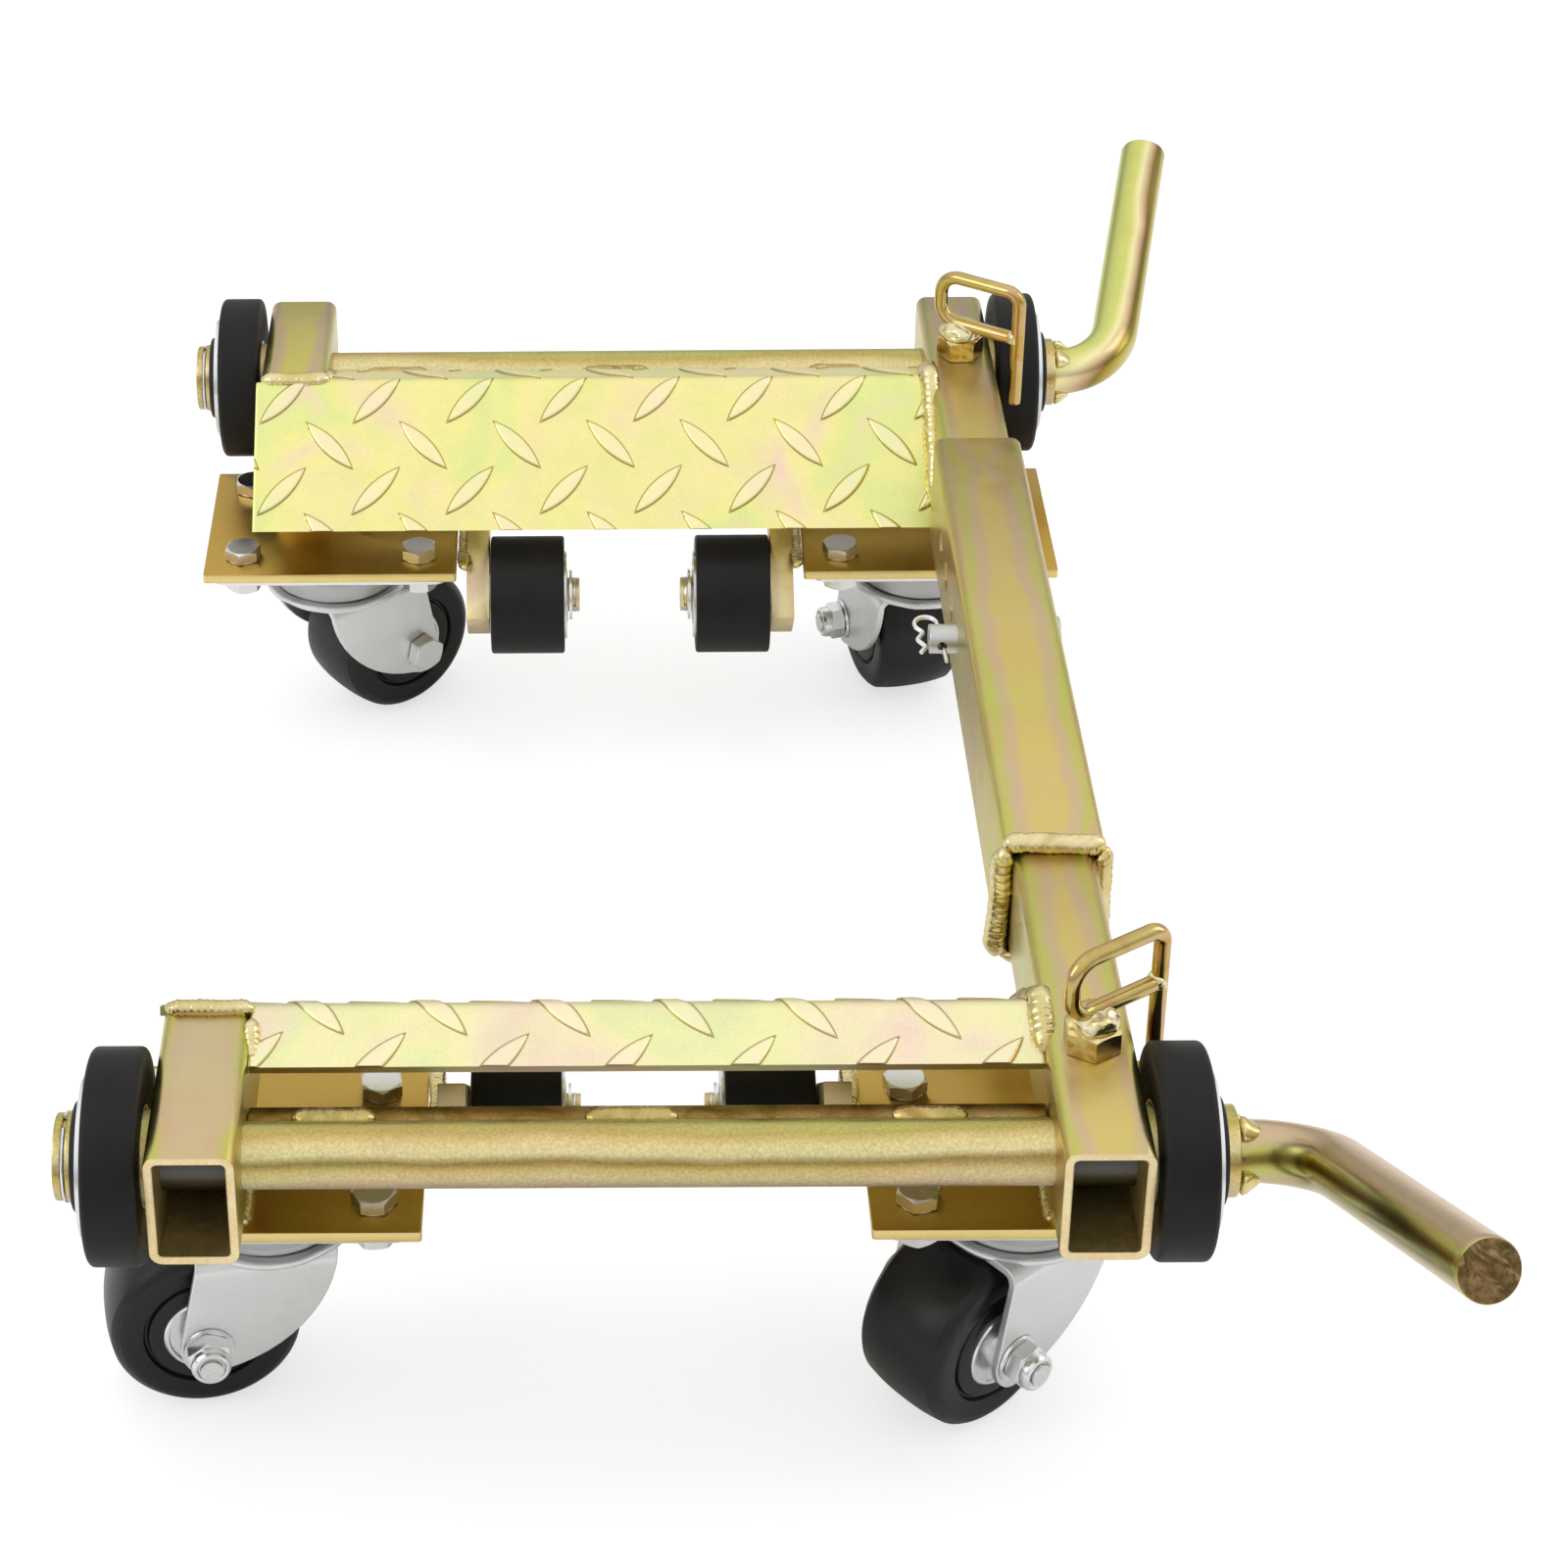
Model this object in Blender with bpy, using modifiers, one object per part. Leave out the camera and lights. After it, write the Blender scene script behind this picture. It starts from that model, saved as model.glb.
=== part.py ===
"""Wheel dolly: a U-shaped frame that lifts one tyre between two ramps and rolls on four casters.

Metres, +Z up. The origin is on the floor under the middle of the object. +X is the crossbar side,
+Y is the arm that slides out of the crossbar sleeve. "Inboard" is the distance from an arm's outer
tube ends towards the tyre bay, so both arms use the same numbers.
"""

import math

import bmesh
import bpy
from mathutils import Matrix, Vector

# Overall layout
ARM_WIDTH = 0.440           # over the outer faces of the left and right tubes
SPAN = 0.808                # from the near tube ends to the far tube ends, arms pushed in
TUBE_TOP = 0.225            # height of the tubes' top faces above the floor
GAP = 0.0003                # clearance between touching pieces

# Rectangular tubes
TUBE_W, TUBE_H, TUBE_WALL, TUBE_CORNER = 0.040, 0.060, 0.004, 0.005
NEAR_TUBE_LENGTH = 0.282
FAR_TUBE_LENGTH = 0.463
SLEEVE_W, SLEEVE_H, SLEEVE_WALL = 0.050, 0.070, 0.004
SLEEVE_START, SLEEVE_END = 0.222, 0.621     # from the near tube ends
LOCK_HOLE_FIRST, LOCK_HOLE_PITCH, LOCK_HOLES = 0.461, 0.032, 4
LOCK_PIN_R, LOCK_HOLE_R = 0.008, 0.0085
SLIDE_TRAVEL = LOCK_HOLE_PITCH * (LOCK_HOLES - 1)

# Axle rod with its journals, and the flat bar behind it
ROD_INBOARD, ROD_DROP, ROD_R = 0.040, 0.032, 0.015
JOURNAL_R, JOURNAL_LEFT, JOURNAL_RIGHT = 0.021, 0.0435, 0.041
BAR_T, BAR_H, BAR_DROP = 0.010, 0.035, 0.025

# End wheels
END_WHEEL_R, END_WHEEL_FROM, END_WHEEL_TO, END_WHEEL_EDGE = 0.0485, 0.0035, 0.028, 0.003
END_HUB_R, END_HUB_TO = 0.036, 0.032

# Ramp of bent tread plate
RAMP_T, RAMP_BEND_R = 0.005, 0.009
RAMP_SLOPE, STRIP_SLOPE = math.radians(40), math.radians(20)
RAMP_CREST = (0.1058, 0.0019)               # inboard and height over the tube tops, before the bend
RAMP_BOTTOM_DROP, STRIP_LENGTH, RAMP_OVERHANG = 0.0597, 0.034, 0.002

# Caster mounting plates
PLATE_X, PLATE_Y, PLATE_T, PLATE_DROP = 0.150, 0.121, 0.006, 0.091
CASTER_X, CASTER_INBOARD = 0.042, 0.116     # swivel axis from the tube's outer face and end
BOLT_X, BOLT_Y = 0.105, 0.080
BOLT_R, BOLT_AF, BOLT_HEAD_H, NUT_H = 0.006, 0.019, 0.0075, 0.010
RISER_W, RISER_FROM, RISER_TO = 0.030, 0.060, 0.118

# Casters
TOP_X, TOP_Y, TOP_T = 0.142, 0.113, 0.004
RACE_R = 0.039
CROWN_R, CROWN_T, CROWN_TOP = 0.044, 0.004, 0.100
CASTER_WHEEL_R, CASTER_WHEEL_W, CASTER_TRAIL = 0.047, 0.052, 0.0355
FORK_INNER, FORK_T = 0.0325, 0.004
CHEEK_ARC_CENTRE, CHEEK_ARC_R = (0.0435, 0.1030), 0.0720     # leading edge; trailing and height
BOSS_BACK, BOSS_DOWN = 0.0135, 0.017        # cheek beyond the axle
CHEEK_TOP_BACK = 0.039                      # trailing edge at the crown
AXLE_R, AXLE_AF = 0.006, 0.020
CASTER_YAW = {                               # heading of the trailing wheel, from +X
    "near_left": 190, "near_right": 220, "far_left": 38, "far_right": 105,
}

# Inner rollers on their brackets
ROLLER_R, ROLLER_W, ROLLER_HUB_R = 0.035, 0.0435, 0.024
ROLLER_INBOARD, ROLLER_DROP, ROLLER_X = 0.165, 0.113, 0.1375
ROLLER_SHAFT_R, ROLLER_SHAFT_END = 0.010, 0.190
BRACKET_X, BRACKET_T, BRACKET_W, BRACKET_LENGTH, BRACKET_TAIL = 0.123, 0.0135, 0.028, 0.092, 0.020

# Handles
HANDLE_R, HANDLE_BEND_R = 0.014, 0.0415
HANDLE_CORNER_X = 0.076                      # from the right tube's outer face
HANDLE_TIP = {                               # x past the tube, inboard, height over the tube tops
    "near": (0.111, -0.123, 0.044), "far": (0.114, -0.123, 0.038),
}

# Loop pins
LOOP_INBOARD, LOOP_NUT_AF, LOOP_NUT_H = 0.0746, 0.024, 0.012
PLUNGER_R, PLUNGER_DEPTH, WIRE_R = 0.006, 0.028, 0.004
LOOP_TURN = math.radians(33)
LOOP_LEFT, LOOP_RIGHT, LOOP_LOW, LOOP_HIGH, LOOP_TAIL = -0.014, 0.038, 0.020, 0.050, -0.022

# Lock pin and its clip
PIN_OUT, PIN_HOLE_FROM_END, PIN_HEAD_R, PIN_HEAD_T = 0.015, 0.0067, 0.012, 0.006
CLIP_R, CLIP_HOLE_R = 0.00125, 0.0026
CLIP_TILT, CLIP_TURN = math.radians(7), math.radians(5)

SIDES = {"near": -1, "far": 1}


def handle_reach(tip):
    """How far the handle's end stands past the right tube, with the bar's own radius."""
    run = Vector((tip[0] - HANDLE_CORNER_X, tip[1] - ROD_INBOARD, tip[2] + ROD_DROP))
    return tip[0] + HANDLE_R * math.sqrt(1 - run.normalized().x ** 2)


HANDLE_REACH = max(handle_reach(tip) for tip in HANDLE_TIP.values())
X_LEFT = -(ARM_WIDTH + HANDLE_REACH - JOURNAL_LEFT) / 2
X_RIGHT = X_LEFT + ARM_WIDTH
ROD_Z = TUBE_TOP - ROD_DROP
PLATE_TOP = TUBE_TOP - PLATE_DROP
TOP_PLATE_Z = PLATE_TOP - PLATE_T - GAP      # top face of a caster's own plate
CROSS_X = X_RIGHT - TUBE_W / 2


def clear_scene():
    for obj in list(bpy.data.objects):
        bpy.data.objects.remove(obj, do_unlink=True)


def new_collection(name):
    collection = bpy.data.collections.new(name)
    bpy.context.scene.collection.children.link(collection)
    return collection


def new_material(name, colour, roughness, metallic):
    material = bpy.data.materials.new(name)
    material.use_nodes = True
    shader = material.node_tree.nodes["Principled BSDF"]
    shader.inputs["Base Color"].default_value = (*colour, 1)
    shader.inputs["Roughness"].default_value = roughness
    shader.inputs["Metallic"].default_value = metallic
    material.diffuse_color = (*colour, 1)
    return material


FINISHES = {
    "yellow_zinc": ((0.80, 0.68, 0.30), 0.40, 1.0),
    "ramp_zinc": ((0.90, 0.84, 0.50), 0.35, 1.0),
    "silver_zinc": ((0.78, 0.80, 0.82), 0.35, 1.0),
    "rubber": ((0.035, 0.035, 0.037), 0.65, 0.0),
    "nylon": ((0.020, 0.020, 0.022), 0.35, 0.0),
}


def inboard_y(side, inboard):
    """World Y of a point this far inboard of an arm's tube ends."""
    return side * (SPAN / 2 - inboard)


def from_near(distance):
    """World Y of a point this far from the near arm's tube ends."""
    return distance - SPAN / 2


def mesh_object(name, bm, collection, origin=(0, 0, 0)):
    """The bmesh, whose points are in world space, as an object whose origin is given."""
    bmesh.ops.translate(bm, verts=bm.verts, vec=-Vector(origin))
    bmesh.ops.recalc_face_normals(bm, faces=bm.faces)
    mesh = bpy.data.meshes.new(name)
    bm.to_mesh(mesh)
    bm.free()
    obj = bpy.data.objects.new(name, mesh)
    obj.location = origin
    collection.objects.link(obj)
    return obj


def finish(obj, finish_name, smooth=False):
    colour, roughness, metallic = FINISHES[finish_name]
    obj.data.materials.clear()
    obj.data.materials.append(new_material(obj.name, colour, roughness, metallic))
    if smooth:
        obj.data.shade_smooth()
        obj.data.set_sharp_from_angle(angle=math.radians(35))
    return obj


def box_bm(low, high):
    bm = bmesh.new()
    size = [b - a for a, b in zip(low, high)]
    middle = [(a + b) / 2 for a, b in zip(low, high)]
    bmesh.ops.create_cube(bm, size=1, matrix=Matrix.Translation(middle) @ Matrix.Diagonal((*size, 1)))
    return bm


def round_edges(bm, direction, radius, segments=3):
    """Rounds the edges that run along one axis."""
    edges = [e for e in bm.edges if abs((e.verts[1].co - e.verts[0].co).normalized()[direction]) > 0.999]
    bmesh.ops.bevel(bm, geom=edges, offset=radius, segments=segments, profile=0.5, affect="EDGES")


def turn_to(axis):
    """Rotation that takes +Z to the given axis."""
    return Vector((0, 0, 1)).rotation_difference(Vector(axis).normalized()).to_matrix().to_4x4()


def cylinder_bm(start, end, radius, segments=24, turn=0.0, bm=None):
    bm = bm or bmesh.new()
    start, end = Vector(start), Vector(end)
    axis = end - start
    place = Matrix.Translation((start + end) / 2) @ turn_to(axis) @ Matrix.Rotation(turn, 4, "Z")
    bmesh.ops.create_cone(
        bm, cap_ends=True, segments=segments, radius1=radius, radius2=radius, depth=axis.length, matrix=place
    )
    return bm


def hex_bm(start, end, across_flats, turn=0.0):
    return cylinder_bm(start, end, across_flats / math.sqrt(3), 6, turn)


def prism_bm(points, low, high, frame):
    """A flat outline, given as (u, v) points, pushed from low to high along the frame's third axis."""
    bm = bmesh.new()
    face = bm.faces.new([bm.verts.new((u, v, low)) for u, v in points])
    pushed = bmesh.ops.extrude_face_region(bm, geom=[face])
    moved = [g for g in pushed["geom"] if isinstance(g, bmesh.types.BMVert)]
    bmesh.ops.translate(bm, verts=moved, vec=(0, 0, high - low))
    bmesh.ops.transform(bm, matrix=frame, verts=bm.verts)
    return bm


def turned(name, profile, origin, axis, collection, steps=32):
    """A ring or a shaft from (distance along the axis, radius) points, with a Screw modifier.

    The profile is closed, except where it starts and ends on the axis. Its outer side runs from the far
    end of the axis to the near end.
    """
    mesh = bpy.data.meshes.new(name)
    points = [(radius, 0, along) for along, radius in profile]
    last = len(points) - 1
    edges = [(i, i + 1) for i in range(last)]
    if profile[0][1] > 0:
        edges.append((last, 0))
    mesh.from_pydata(points, edges, [])
    obj = bpy.data.objects.new(name, mesh)
    obj.matrix_world = Matrix.Translation(origin) @ turn_to(axis)
    collection.objects.link(obj)
    screw = obj.modifiers.new("Screw", "SCREW")
    screw.axis = "Z"
    screw.steps = screw.render_steps = steps
    screw.use_merge_vertices = True
    screw.merge_threshold = 0.00005
    screw.use_smooth_shade = True
    return obj


def to_mesh(obj, collection):
    """A curve as a welded mesh object that Booleans can use."""
    graph = bpy.context.evaluated_depsgraph_get()
    mesh = bpy.data.meshes.new_from_object(obj.evaluated_get(graph))
    bm = bmesh.new()
    bm.from_mesh(mesh)
    bmesh.ops.remove_doubles(bm, verts=bm.verts, dist=0.00001)
    bmesh.ops.recalc_face_normals(bm, faces=bm.faces)
    bm.to_mesh(mesh)
    bm.free()
    solid = bpy.data.objects.new(obj.name, mesh)
    solid.matrix_world = obj.matrix_world
    name = obj.name
    bpy.data.objects.remove(obj, do_unlink=True)
    solid.name = name
    collection.objects.link(solid)
    return solid


def wire(name, points, radius, collection, resolution=2):
    """A round bar along a path of points, as a welded mesh."""
    curve = bpy.data.curves.new(name, "CURVE")
    curve.dimensions = "3D"
    curve.bevel_depth = radius
    curve.bevel_resolution = resolution
    curve.use_fill_caps = True
    spline = curve.splines.new("POLY")
    spline.points.add(len(points) - 1)
    for place, point in zip(spline.points, points):
        place.co = (*point, 1)
    obj = bpy.data.objects.new(name, curve)
    bpy.context.scene.collection.objects.link(obj)
    bpy.context.view_layer.update()
    return to_mesh(obj, collection)


def rounded_path(corners, radii, steps=6):
    """A polyline through the corners, with each inner corner turned into an arc of the given radius."""
    corners = [Vector(c) for c in corners]
    path = [corners[0]]
    for before, corner, after, radius in zip(corners, corners[1:], corners[2:], radii):
        back, ahead = (before - corner).normalized(), (after - corner).normalized()
        half = back.angle(ahead) / 2
        centre = corner + (back + ahead).normalized() * radius / math.sin(half)
        first = corner + back * radius / math.tan(half) - centre
        last = corner + ahead * radius / math.tan(half) - centre
        sweep = first.angle(last)
        for i in range(steps + 1):
            t = i / steps
            mix = first * math.sin((1 - t) * sweep) + last * math.sin(t * sweep)
            path.append(centre + mix / math.sin(sweep))
    path.append(corners[-1])
    return path


def cutter(name, bm):
    obj = mesh_object(name, bm, CUTTERS)
    obj.hide_render = True
    obj.display_type = "WIRE"
    return obj


def helper(obj):
    """Puts a turned or wire piece among the cutters, so that only its union is a part."""
    obj.hide_render = True
    obj.display_type = "WIRE"
    return obj


def combine(obj, other, operation):
    boolean = obj.modifiers.new(operation.title(), "BOOLEAN")
    boolean.operation = operation
    boolean.solver = "EXACT"
    boolean.object = other


def cut(obj, other):
    combine(obj, other, "DIFFERENCE")


def join(obj, other):
    combine(obj, other, "UNION")


# Frame ------------------------------------------------------------------------------------------


def rect_tube(name, centre_x, top_z, width, height, wall, y_from, y_to, corner):
    low, high = sorted((y_from, y_to))
    half = width / 2
    bm = box_bm((centre_x - half, low, top_z - height), (centre_x + half, high, top_z))
    round_edges(bm, 1, corner)
    tube = mesh_object(name, bm, PARTS)
    past = 0.02
    channel = box_bm(
        (centre_x - half + wall, low - past, top_z - height + wall),
        (centre_x + half - wall, high + past, top_z - wall),
    )
    round_edges(channel, 1, corner * 0.4, 2)
    cut(tube, cutter(f"{name}_channel", channel))
    return tube


def rod_hole(tube, side, centre_x):
    y = inboard_y(side, ROD_INBOARD)
    ends = [(centre_x + dx, y, ROD_Z) for dx in (-0.03, 0.03)]
    cut(tube, cutter(f"{tube.name}_rod_hole", cylinder_bm(*ends, ROD_R + GAP, 32)))


def ramp_line(drop):
    """Inboard distance of the ramp's outer face where it is this far below the tube tops."""
    crest_inboard, crest_height = RAMP_CREST
    return crest_inboard + (crest_height + drop) / math.tan(RAMP_SLOPE)


def arm_frame(side):
    """Axes for an arm's side view: u is inboard, v is up and the third axis is X."""
    return Matrix(
        ((0, 0, 1, 0), (-side, 0, 0, side * SPAN / 2), (0, 1, 0, TUBE_TOP), (0, 0, 0, 1))
    )


def stub_tube(arm, side):
    centre_x = X_LEFT + TUBE_W / 2
    end = ramp_line(TUBE_H)
    tube = rect_tube(
        f"{arm}_stub_tube", centre_x, TUBE_TOP, TUBE_W, TUBE_H, TUBE_WALL,
        inboard_y(side, 0), inboard_y(side, end), TUBE_CORNER,
    )
    clear = (RAMP_T + 0.0008) / math.sin(RAMP_SLOPE)
    mitre = [
        (ramp_line(-0.02) - clear, 0.02),
        (ramp_line(0.08) - clear, -0.08),
        (end + 0.05, -0.08),
        (end + 0.05, 0.02),
    ]
    cut(tube, cutter(f"{arm}_stub_mitre", prism_bm(mitre, X_LEFT - 0.01, X_LEFT + 0.06, arm_frame(side))))
    rod_hole(tube, side, centre_x)
    finish(tube, "yellow_zinc")


def loop_hole(tube, side):
    y = inboard_y(side, LOOP_INBOARD)
    ends = [(CROSS_X, y, TUBE_TOP + dz) for dz in (-0.012, 0.012)]
    cut(tube, cutter(f"{tube.name}_loop_hole", cylinder_bm(*ends, PLUNGER_R + 0.0005, 20)))


def cross_tube(arm, side, length):
    tube = rect_tube(
        f"{arm}_cross_tube", CROSS_X, TUBE_TOP, TUBE_W, TUBE_H, TUBE_WALL,
        inboard_y(side, 0), inboard_y(side, length), TUBE_CORNER,
    )
    rod_hole(tube, side, CROSS_X)
    loop_hole(tube, side)
    return finish(tube, "yellow_zinc")


def lock_slot(tube):
    """The sliding tube's hole, long enough for the pin to stay in place over the whole travel."""
    bm = box_bm(
        (CROSS_X - 0.03, from_near(LOCK_HOLE_FIRST) - SLIDE_TRAVEL - LOCK_HOLE_R, LOCK_Z - LOCK_HOLE_R),
        (CROSS_X + 0.03, from_near(LOCK_HOLE_FIRST) + LOCK_HOLE_R, LOCK_Z + LOCK_HOLE_R),
    )
    cut(tube, cutter("far_tube_slot", bm))


LOCK_Z = TUBE_TOP - TUBE_H / 2


def sleeve():
    drop = (SLEEVE_H - TUBE_H) / 2
    tube = rect_tube(
        "sleeve", CROSS_X, TUBE_TOP + drop, SLEEVE_W, SLEEVE_H, SLEEVE_WALL,
        from_near(SLEEVE_START), from_near(SLEEVE_END), TUBE_CORNER,
    )
    for i in range(LOCK_HOLES):
        y = from_near(LOCK_HOLE_FIRST + i * LOCK_HOLE_PITCH)
        ends = [(CROSS_X + dx, y, LOCK_Z) for dx in (-0.04, 0.04)]
        cut(tube, cutter(f"sleeve_hole_{i + 1}", cylinder_bm(*ends, LOCK_HOLE_R, 20)))
    finish(tube, "yellow_zinc")


def ramp_outline():
    """Side view of the bent plate, as (inboard, height over the tube tops) points."""
    crest = Vector((*RAMP_CREST, 0))
    down = Vector((math.cos(RAMP_SLOPE), -math.sin(RAMP_SLOPE), 0))
    out = Vector((-math.cos(STRIP_SLOPE), -math.sin(STRIP_SLOPE), 0))
    half = down.angle(out) / 2
    bottom = Vector((ramp_line(RAMP_BOTTOM_DROP), -RAMP_BOTTOM_DROP, 0))
    outer = rounded_path([crest + out * STRIP_LENGTH, crest, bottom], [RAMP_BEND_R], 5)
    crest_in = crest + (down + out).normalized() * RAMP_T / math.sin(half)
    bottom_in = Vector((bottom.x - RAMP_T / math.sin(RAMP_SLOPE), bottom.y, 0))
    strip_in = outer[0] + Vector((math.sin(STRIP_SLOPE), -math.cos(STRIP_SLOPE), 0)) * RAMP_T
    inner = rounded_path([strip_in, crest_in, bottom_in], [RAMP_BEND_R - RAMP_T], 5)
    return [(p.x, p.y) for p in outer + inner[::-1]]


def ramp(arm, side):
    frame = arm_frame(side)
    right = X_RIGHT - TUBE_W - GAP
    bm = prism_bm(ramp_outline(), X_LEFT - RAMP_OVERHANG, right, frame)
    plate = mesh_object(f"{arm}_ramp", bm, PARTS)
    top = Vector((ramp_line(0), 0))
    square = Vector((math.sin(RAMP_SLOPE), math.cos(RAMP_SLOPE)))
    notch = [
        tuple(top + square * 0.02),
        tuple(top - square * 0.03),
        (0.04, -0.04),
        (0.04, 0.03),
    ]
    left = X_LEFT + TUBE_W + GAP
    cut(plate, cutter(f"{arm}_ramp_notch", prism_bm(notch, X_LEFT - 0.01, left, frame)))
    finish(plate, "ramp_zinc")


def axle_rod(arm, side):
    low, high = -JOURNAL_LEFT, ARM_WIDTH + JOURNAL_RIGHT
    step_low, step_high = -GAP, ARM_WIDTH + GAP
    chamfer = 0.001
    profile = [
        (high, 0), (high, JOURNAL_R - chamfer), (high - chamfer, JOURNAL_R), (step_high, JOURNAL_R),
        (step_high, ROD_R), (step_low, ROD_R), (step_low, JOURNAL_R), (low + chamfer, JOURNAL_R),
        (low, JOURNAL_R - chamfer), (low, 0),
    ]
    origin = (X_LEFT, inboard_y(side, ROD_INBOARD), ROD_Z)
    rod = turned(f"{arm}_axle_rod", profile, origin, (1, 0, 0), PARTS, 28)
    finish(rod, "yellow_zinc")


def stiffener_bar(arm, side):
    start = ROD_INBOARD + ROD_R + GAP
    y = sorted((inboard_y(side, start), inboard_y(side, start + BAR_T)))
    top = TUBE_TOP - BAR_DROP
    bm = box_bm((X_LEFT + TUBE_W + GAP, y[0], top - BAR_H), (X_RIGHT - TUBE_W - GAP, y[1], top))
    finish(mesh_object(f"{arm}_stiffener_bar", bm, PARTS), "yellow_zinc")


def handle(arm, side):
    y = inboard_y(side, ROD_INBOARD)
    start = (X_RIGHT + JOURNAL_RIGHT + GAP, y, ROD_Z)
    corner = (X_RIGHT + HANDLE_CORNER_X, y, ROD_Z)
    past, inboard, height = HANDLE_TIP[arm]
    tip = (X_RIGHT + past, inboard_y(side, inboard), TUBE_TOP + height)
    bar = wire(f"{arm}_handle", rounded_path([start, corner, tip], [HANDLE_BEND_R], 7), HANDLE_R, PARTS, 5)
    finish(bar, "yellow_zinc", smooth=True)


# Wheels and rollers -----------------------------------------------------------------------------


def hand(end):
    """+1 for a piece at the left end, whose outward direction is -X, and -1 at the right end."""
    return 1 if end == "left" else -1


def from_end(end, distance):
    """World X of a point this far in from the outer face of the left or right tube."""
    return X_LEFT + distance if end == "left" else X_RIGHT - distance


def ring_profile(low, high, inner, outer, edge, steps=2):
    """A ring's section with rounded outer edges, outer side first, from high to low."""
    arc = [math.pi / 2 * i / steps for i in range(steps + 1)]
    top = [(high - edge + edge * math.cos(a), outer - edge + edge * math.sin(a)) for a in arc]
    bottom = [(low + edge - edge * math.sin(a), outer - edge + edge * math.cos(a)) for a in arc]
    return [(high, inner), *top, *bottom, (low, inner)]


def end_wheel(arm, side, end):
    name = f"{arm}_{end}_end"
    origin = (from_end(end, 0), inboard_y(side, ROD_INBOARD), ROD_Z)
    axis = (-hand(end), 0, 0)
    tyre = ring_profile(END_WHEEL_FROM, END_WHEEL_TO, END_HUB_R + GAP, END_WHEEL_R, END_WHEEL_EDGE)
    finish(turned(f"{name}_tyre", tyre, origin, axis, PARTS, 32), "rubber")
    hub = ring_profile(END_WHEEL_FROM - 0.001, END_HUB_TO, JOURNAL_R + GAP, END_HUB_R, 0.001, 1)
    finish(turned(f"{name}_hub", hub, origin, axis, PARTS, 28), "silver_zinc")


def roller(arm, side, end):
    name = f"{arm}_{end}_roller"
    origin = (from_end(end, 0), inboard_y(side, ROLLER_INBOARD), TUBE_TOP - ROLLER_DROP)
    axis = (hand(end), 0, 0)
    low, high = ROLLER_X, ROLLER_X + ROLLER_W
    tyre = ring_profile(low, high, ROLLER_HUB_R + GAP, ROLLER_R, 0.0015, 1)
    finish(turned(f"{name}_tyre", tyre, origin, axis, PARTS, 28), "rubber")
    hub = ring_profile(low, high + 0.002, ROLLER_SHAFT_R + GAP, ROLLER_HUB_R, 0.001, 1)
    finish(turned(f"{name}_hub", hub, origin, axis, PARTS, 24), "silver_zinc")


def roller_bracket(arm, side, end):
    """A flat bar down the back of the ramp, with the stub shaft that carries the roller."""
    down = Vector((math.cos(RAMP_SLOPE), -math.sin(RAMP_SLOPE)))
    across = Vector((math.sin(RAMP_SLOPE), math.cos(RAMP_SLOPE))) * BRACKET_W / 2
    low_end = Vector((ROLLER_INBOARD, -ROLLER_DROP)) + down * BRACKET_TAIL
    high_end = low_end - down * BRACKET_LENGTH
    outline = [low_end + across, low_end - across, high_end - across, high_end + across]
    xs = sorted((from_end(end, BRACKET_X), from_end(end, BRACKET_X + BRACKET_T)))
    bm = prism_bm([tuple(p) for p in outline], *xs, arm_frame(side))
    bar = mesh_object(f"{arm}_{end}_roller_bracket", bm, PARTS)
    y, z = inboard_y(side, ROLLER_INBOARD), TUBE_TOP - ROLLER_DROP
    ends = [(from_end(end, x), y, z) for x in (BRACKET_X + 0.004, ROLLER_SHAFT_END)]
    join(bar, cutter(f"{bar.name}_shaft", cylinder_bm(*ends, ROLLER_SHAFT_R, 24)))
    finish(bar, "yellow_zinc")


# Casters ----------------------------------------------------------------------------------------


def caster_centre(side, end):
    return Vector((from_end(end, CASTER_X), inboard_y(side, CASTER_INBOARD), 0))


def bolt_places(side, end):
    centre = caster_centre(side, end)
    for i in (-1, 1):
        for j in (-1, 1):
            yield centre + Vector((i * BOLT_X / 2, j * BOLT_Y / 2, 0))


def at_height(point, z):
    return (point.x, point.y, z)


def caster_plate(arm, side, end):
    """The mounting plate with the riser that holds it under the tube."""
    centre = caster_centre(side, end)
    half = Vector((PLATE_X / 2, PLATE_Y / 2, 0))
    low, high = centre - half, centre + half
    plate = mesh_object(
        f"{arm}_{end}_caster_plate",
        box_bm(at_height(low, PLATE_TOP - PLATE_T), at_height(high, PLATE_TOP)),
        PARTS,
    )
    xs = sorted(from_end(end, TUBE_W / 2 + dx) for dx in (-RISER_W / 2, RISER_W / 2))
    ys = sorted(inboard_y(side, d) for d in (RISER_FROM, RISER_TO))
    riser_bottom, riser_top = PLATE_TOP - PLATE_T / 2, TUBE_TOP - TUBE_H - GAP
    riser = box_bm((xs[0], ys[0], riser_bottom), (xs[1], ys[1], riser_top))
    join(plate, cutter(f"{plate.name}_riser", riser))
    for i, place in enumerate(bolt_places(side, end), 1):
        ends = [at_height(place, z) for z in (PLATE_TOP - PLATE_T - 0.004, PLATE_TOP + 0.004)]
        cut(plate, cutter(f"{plate.name}_hole_{i}", cylinder_bm(*ends, BOLT_R + 0.0005, 16)))
    finish(plate, "yellow_zinc")


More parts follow.
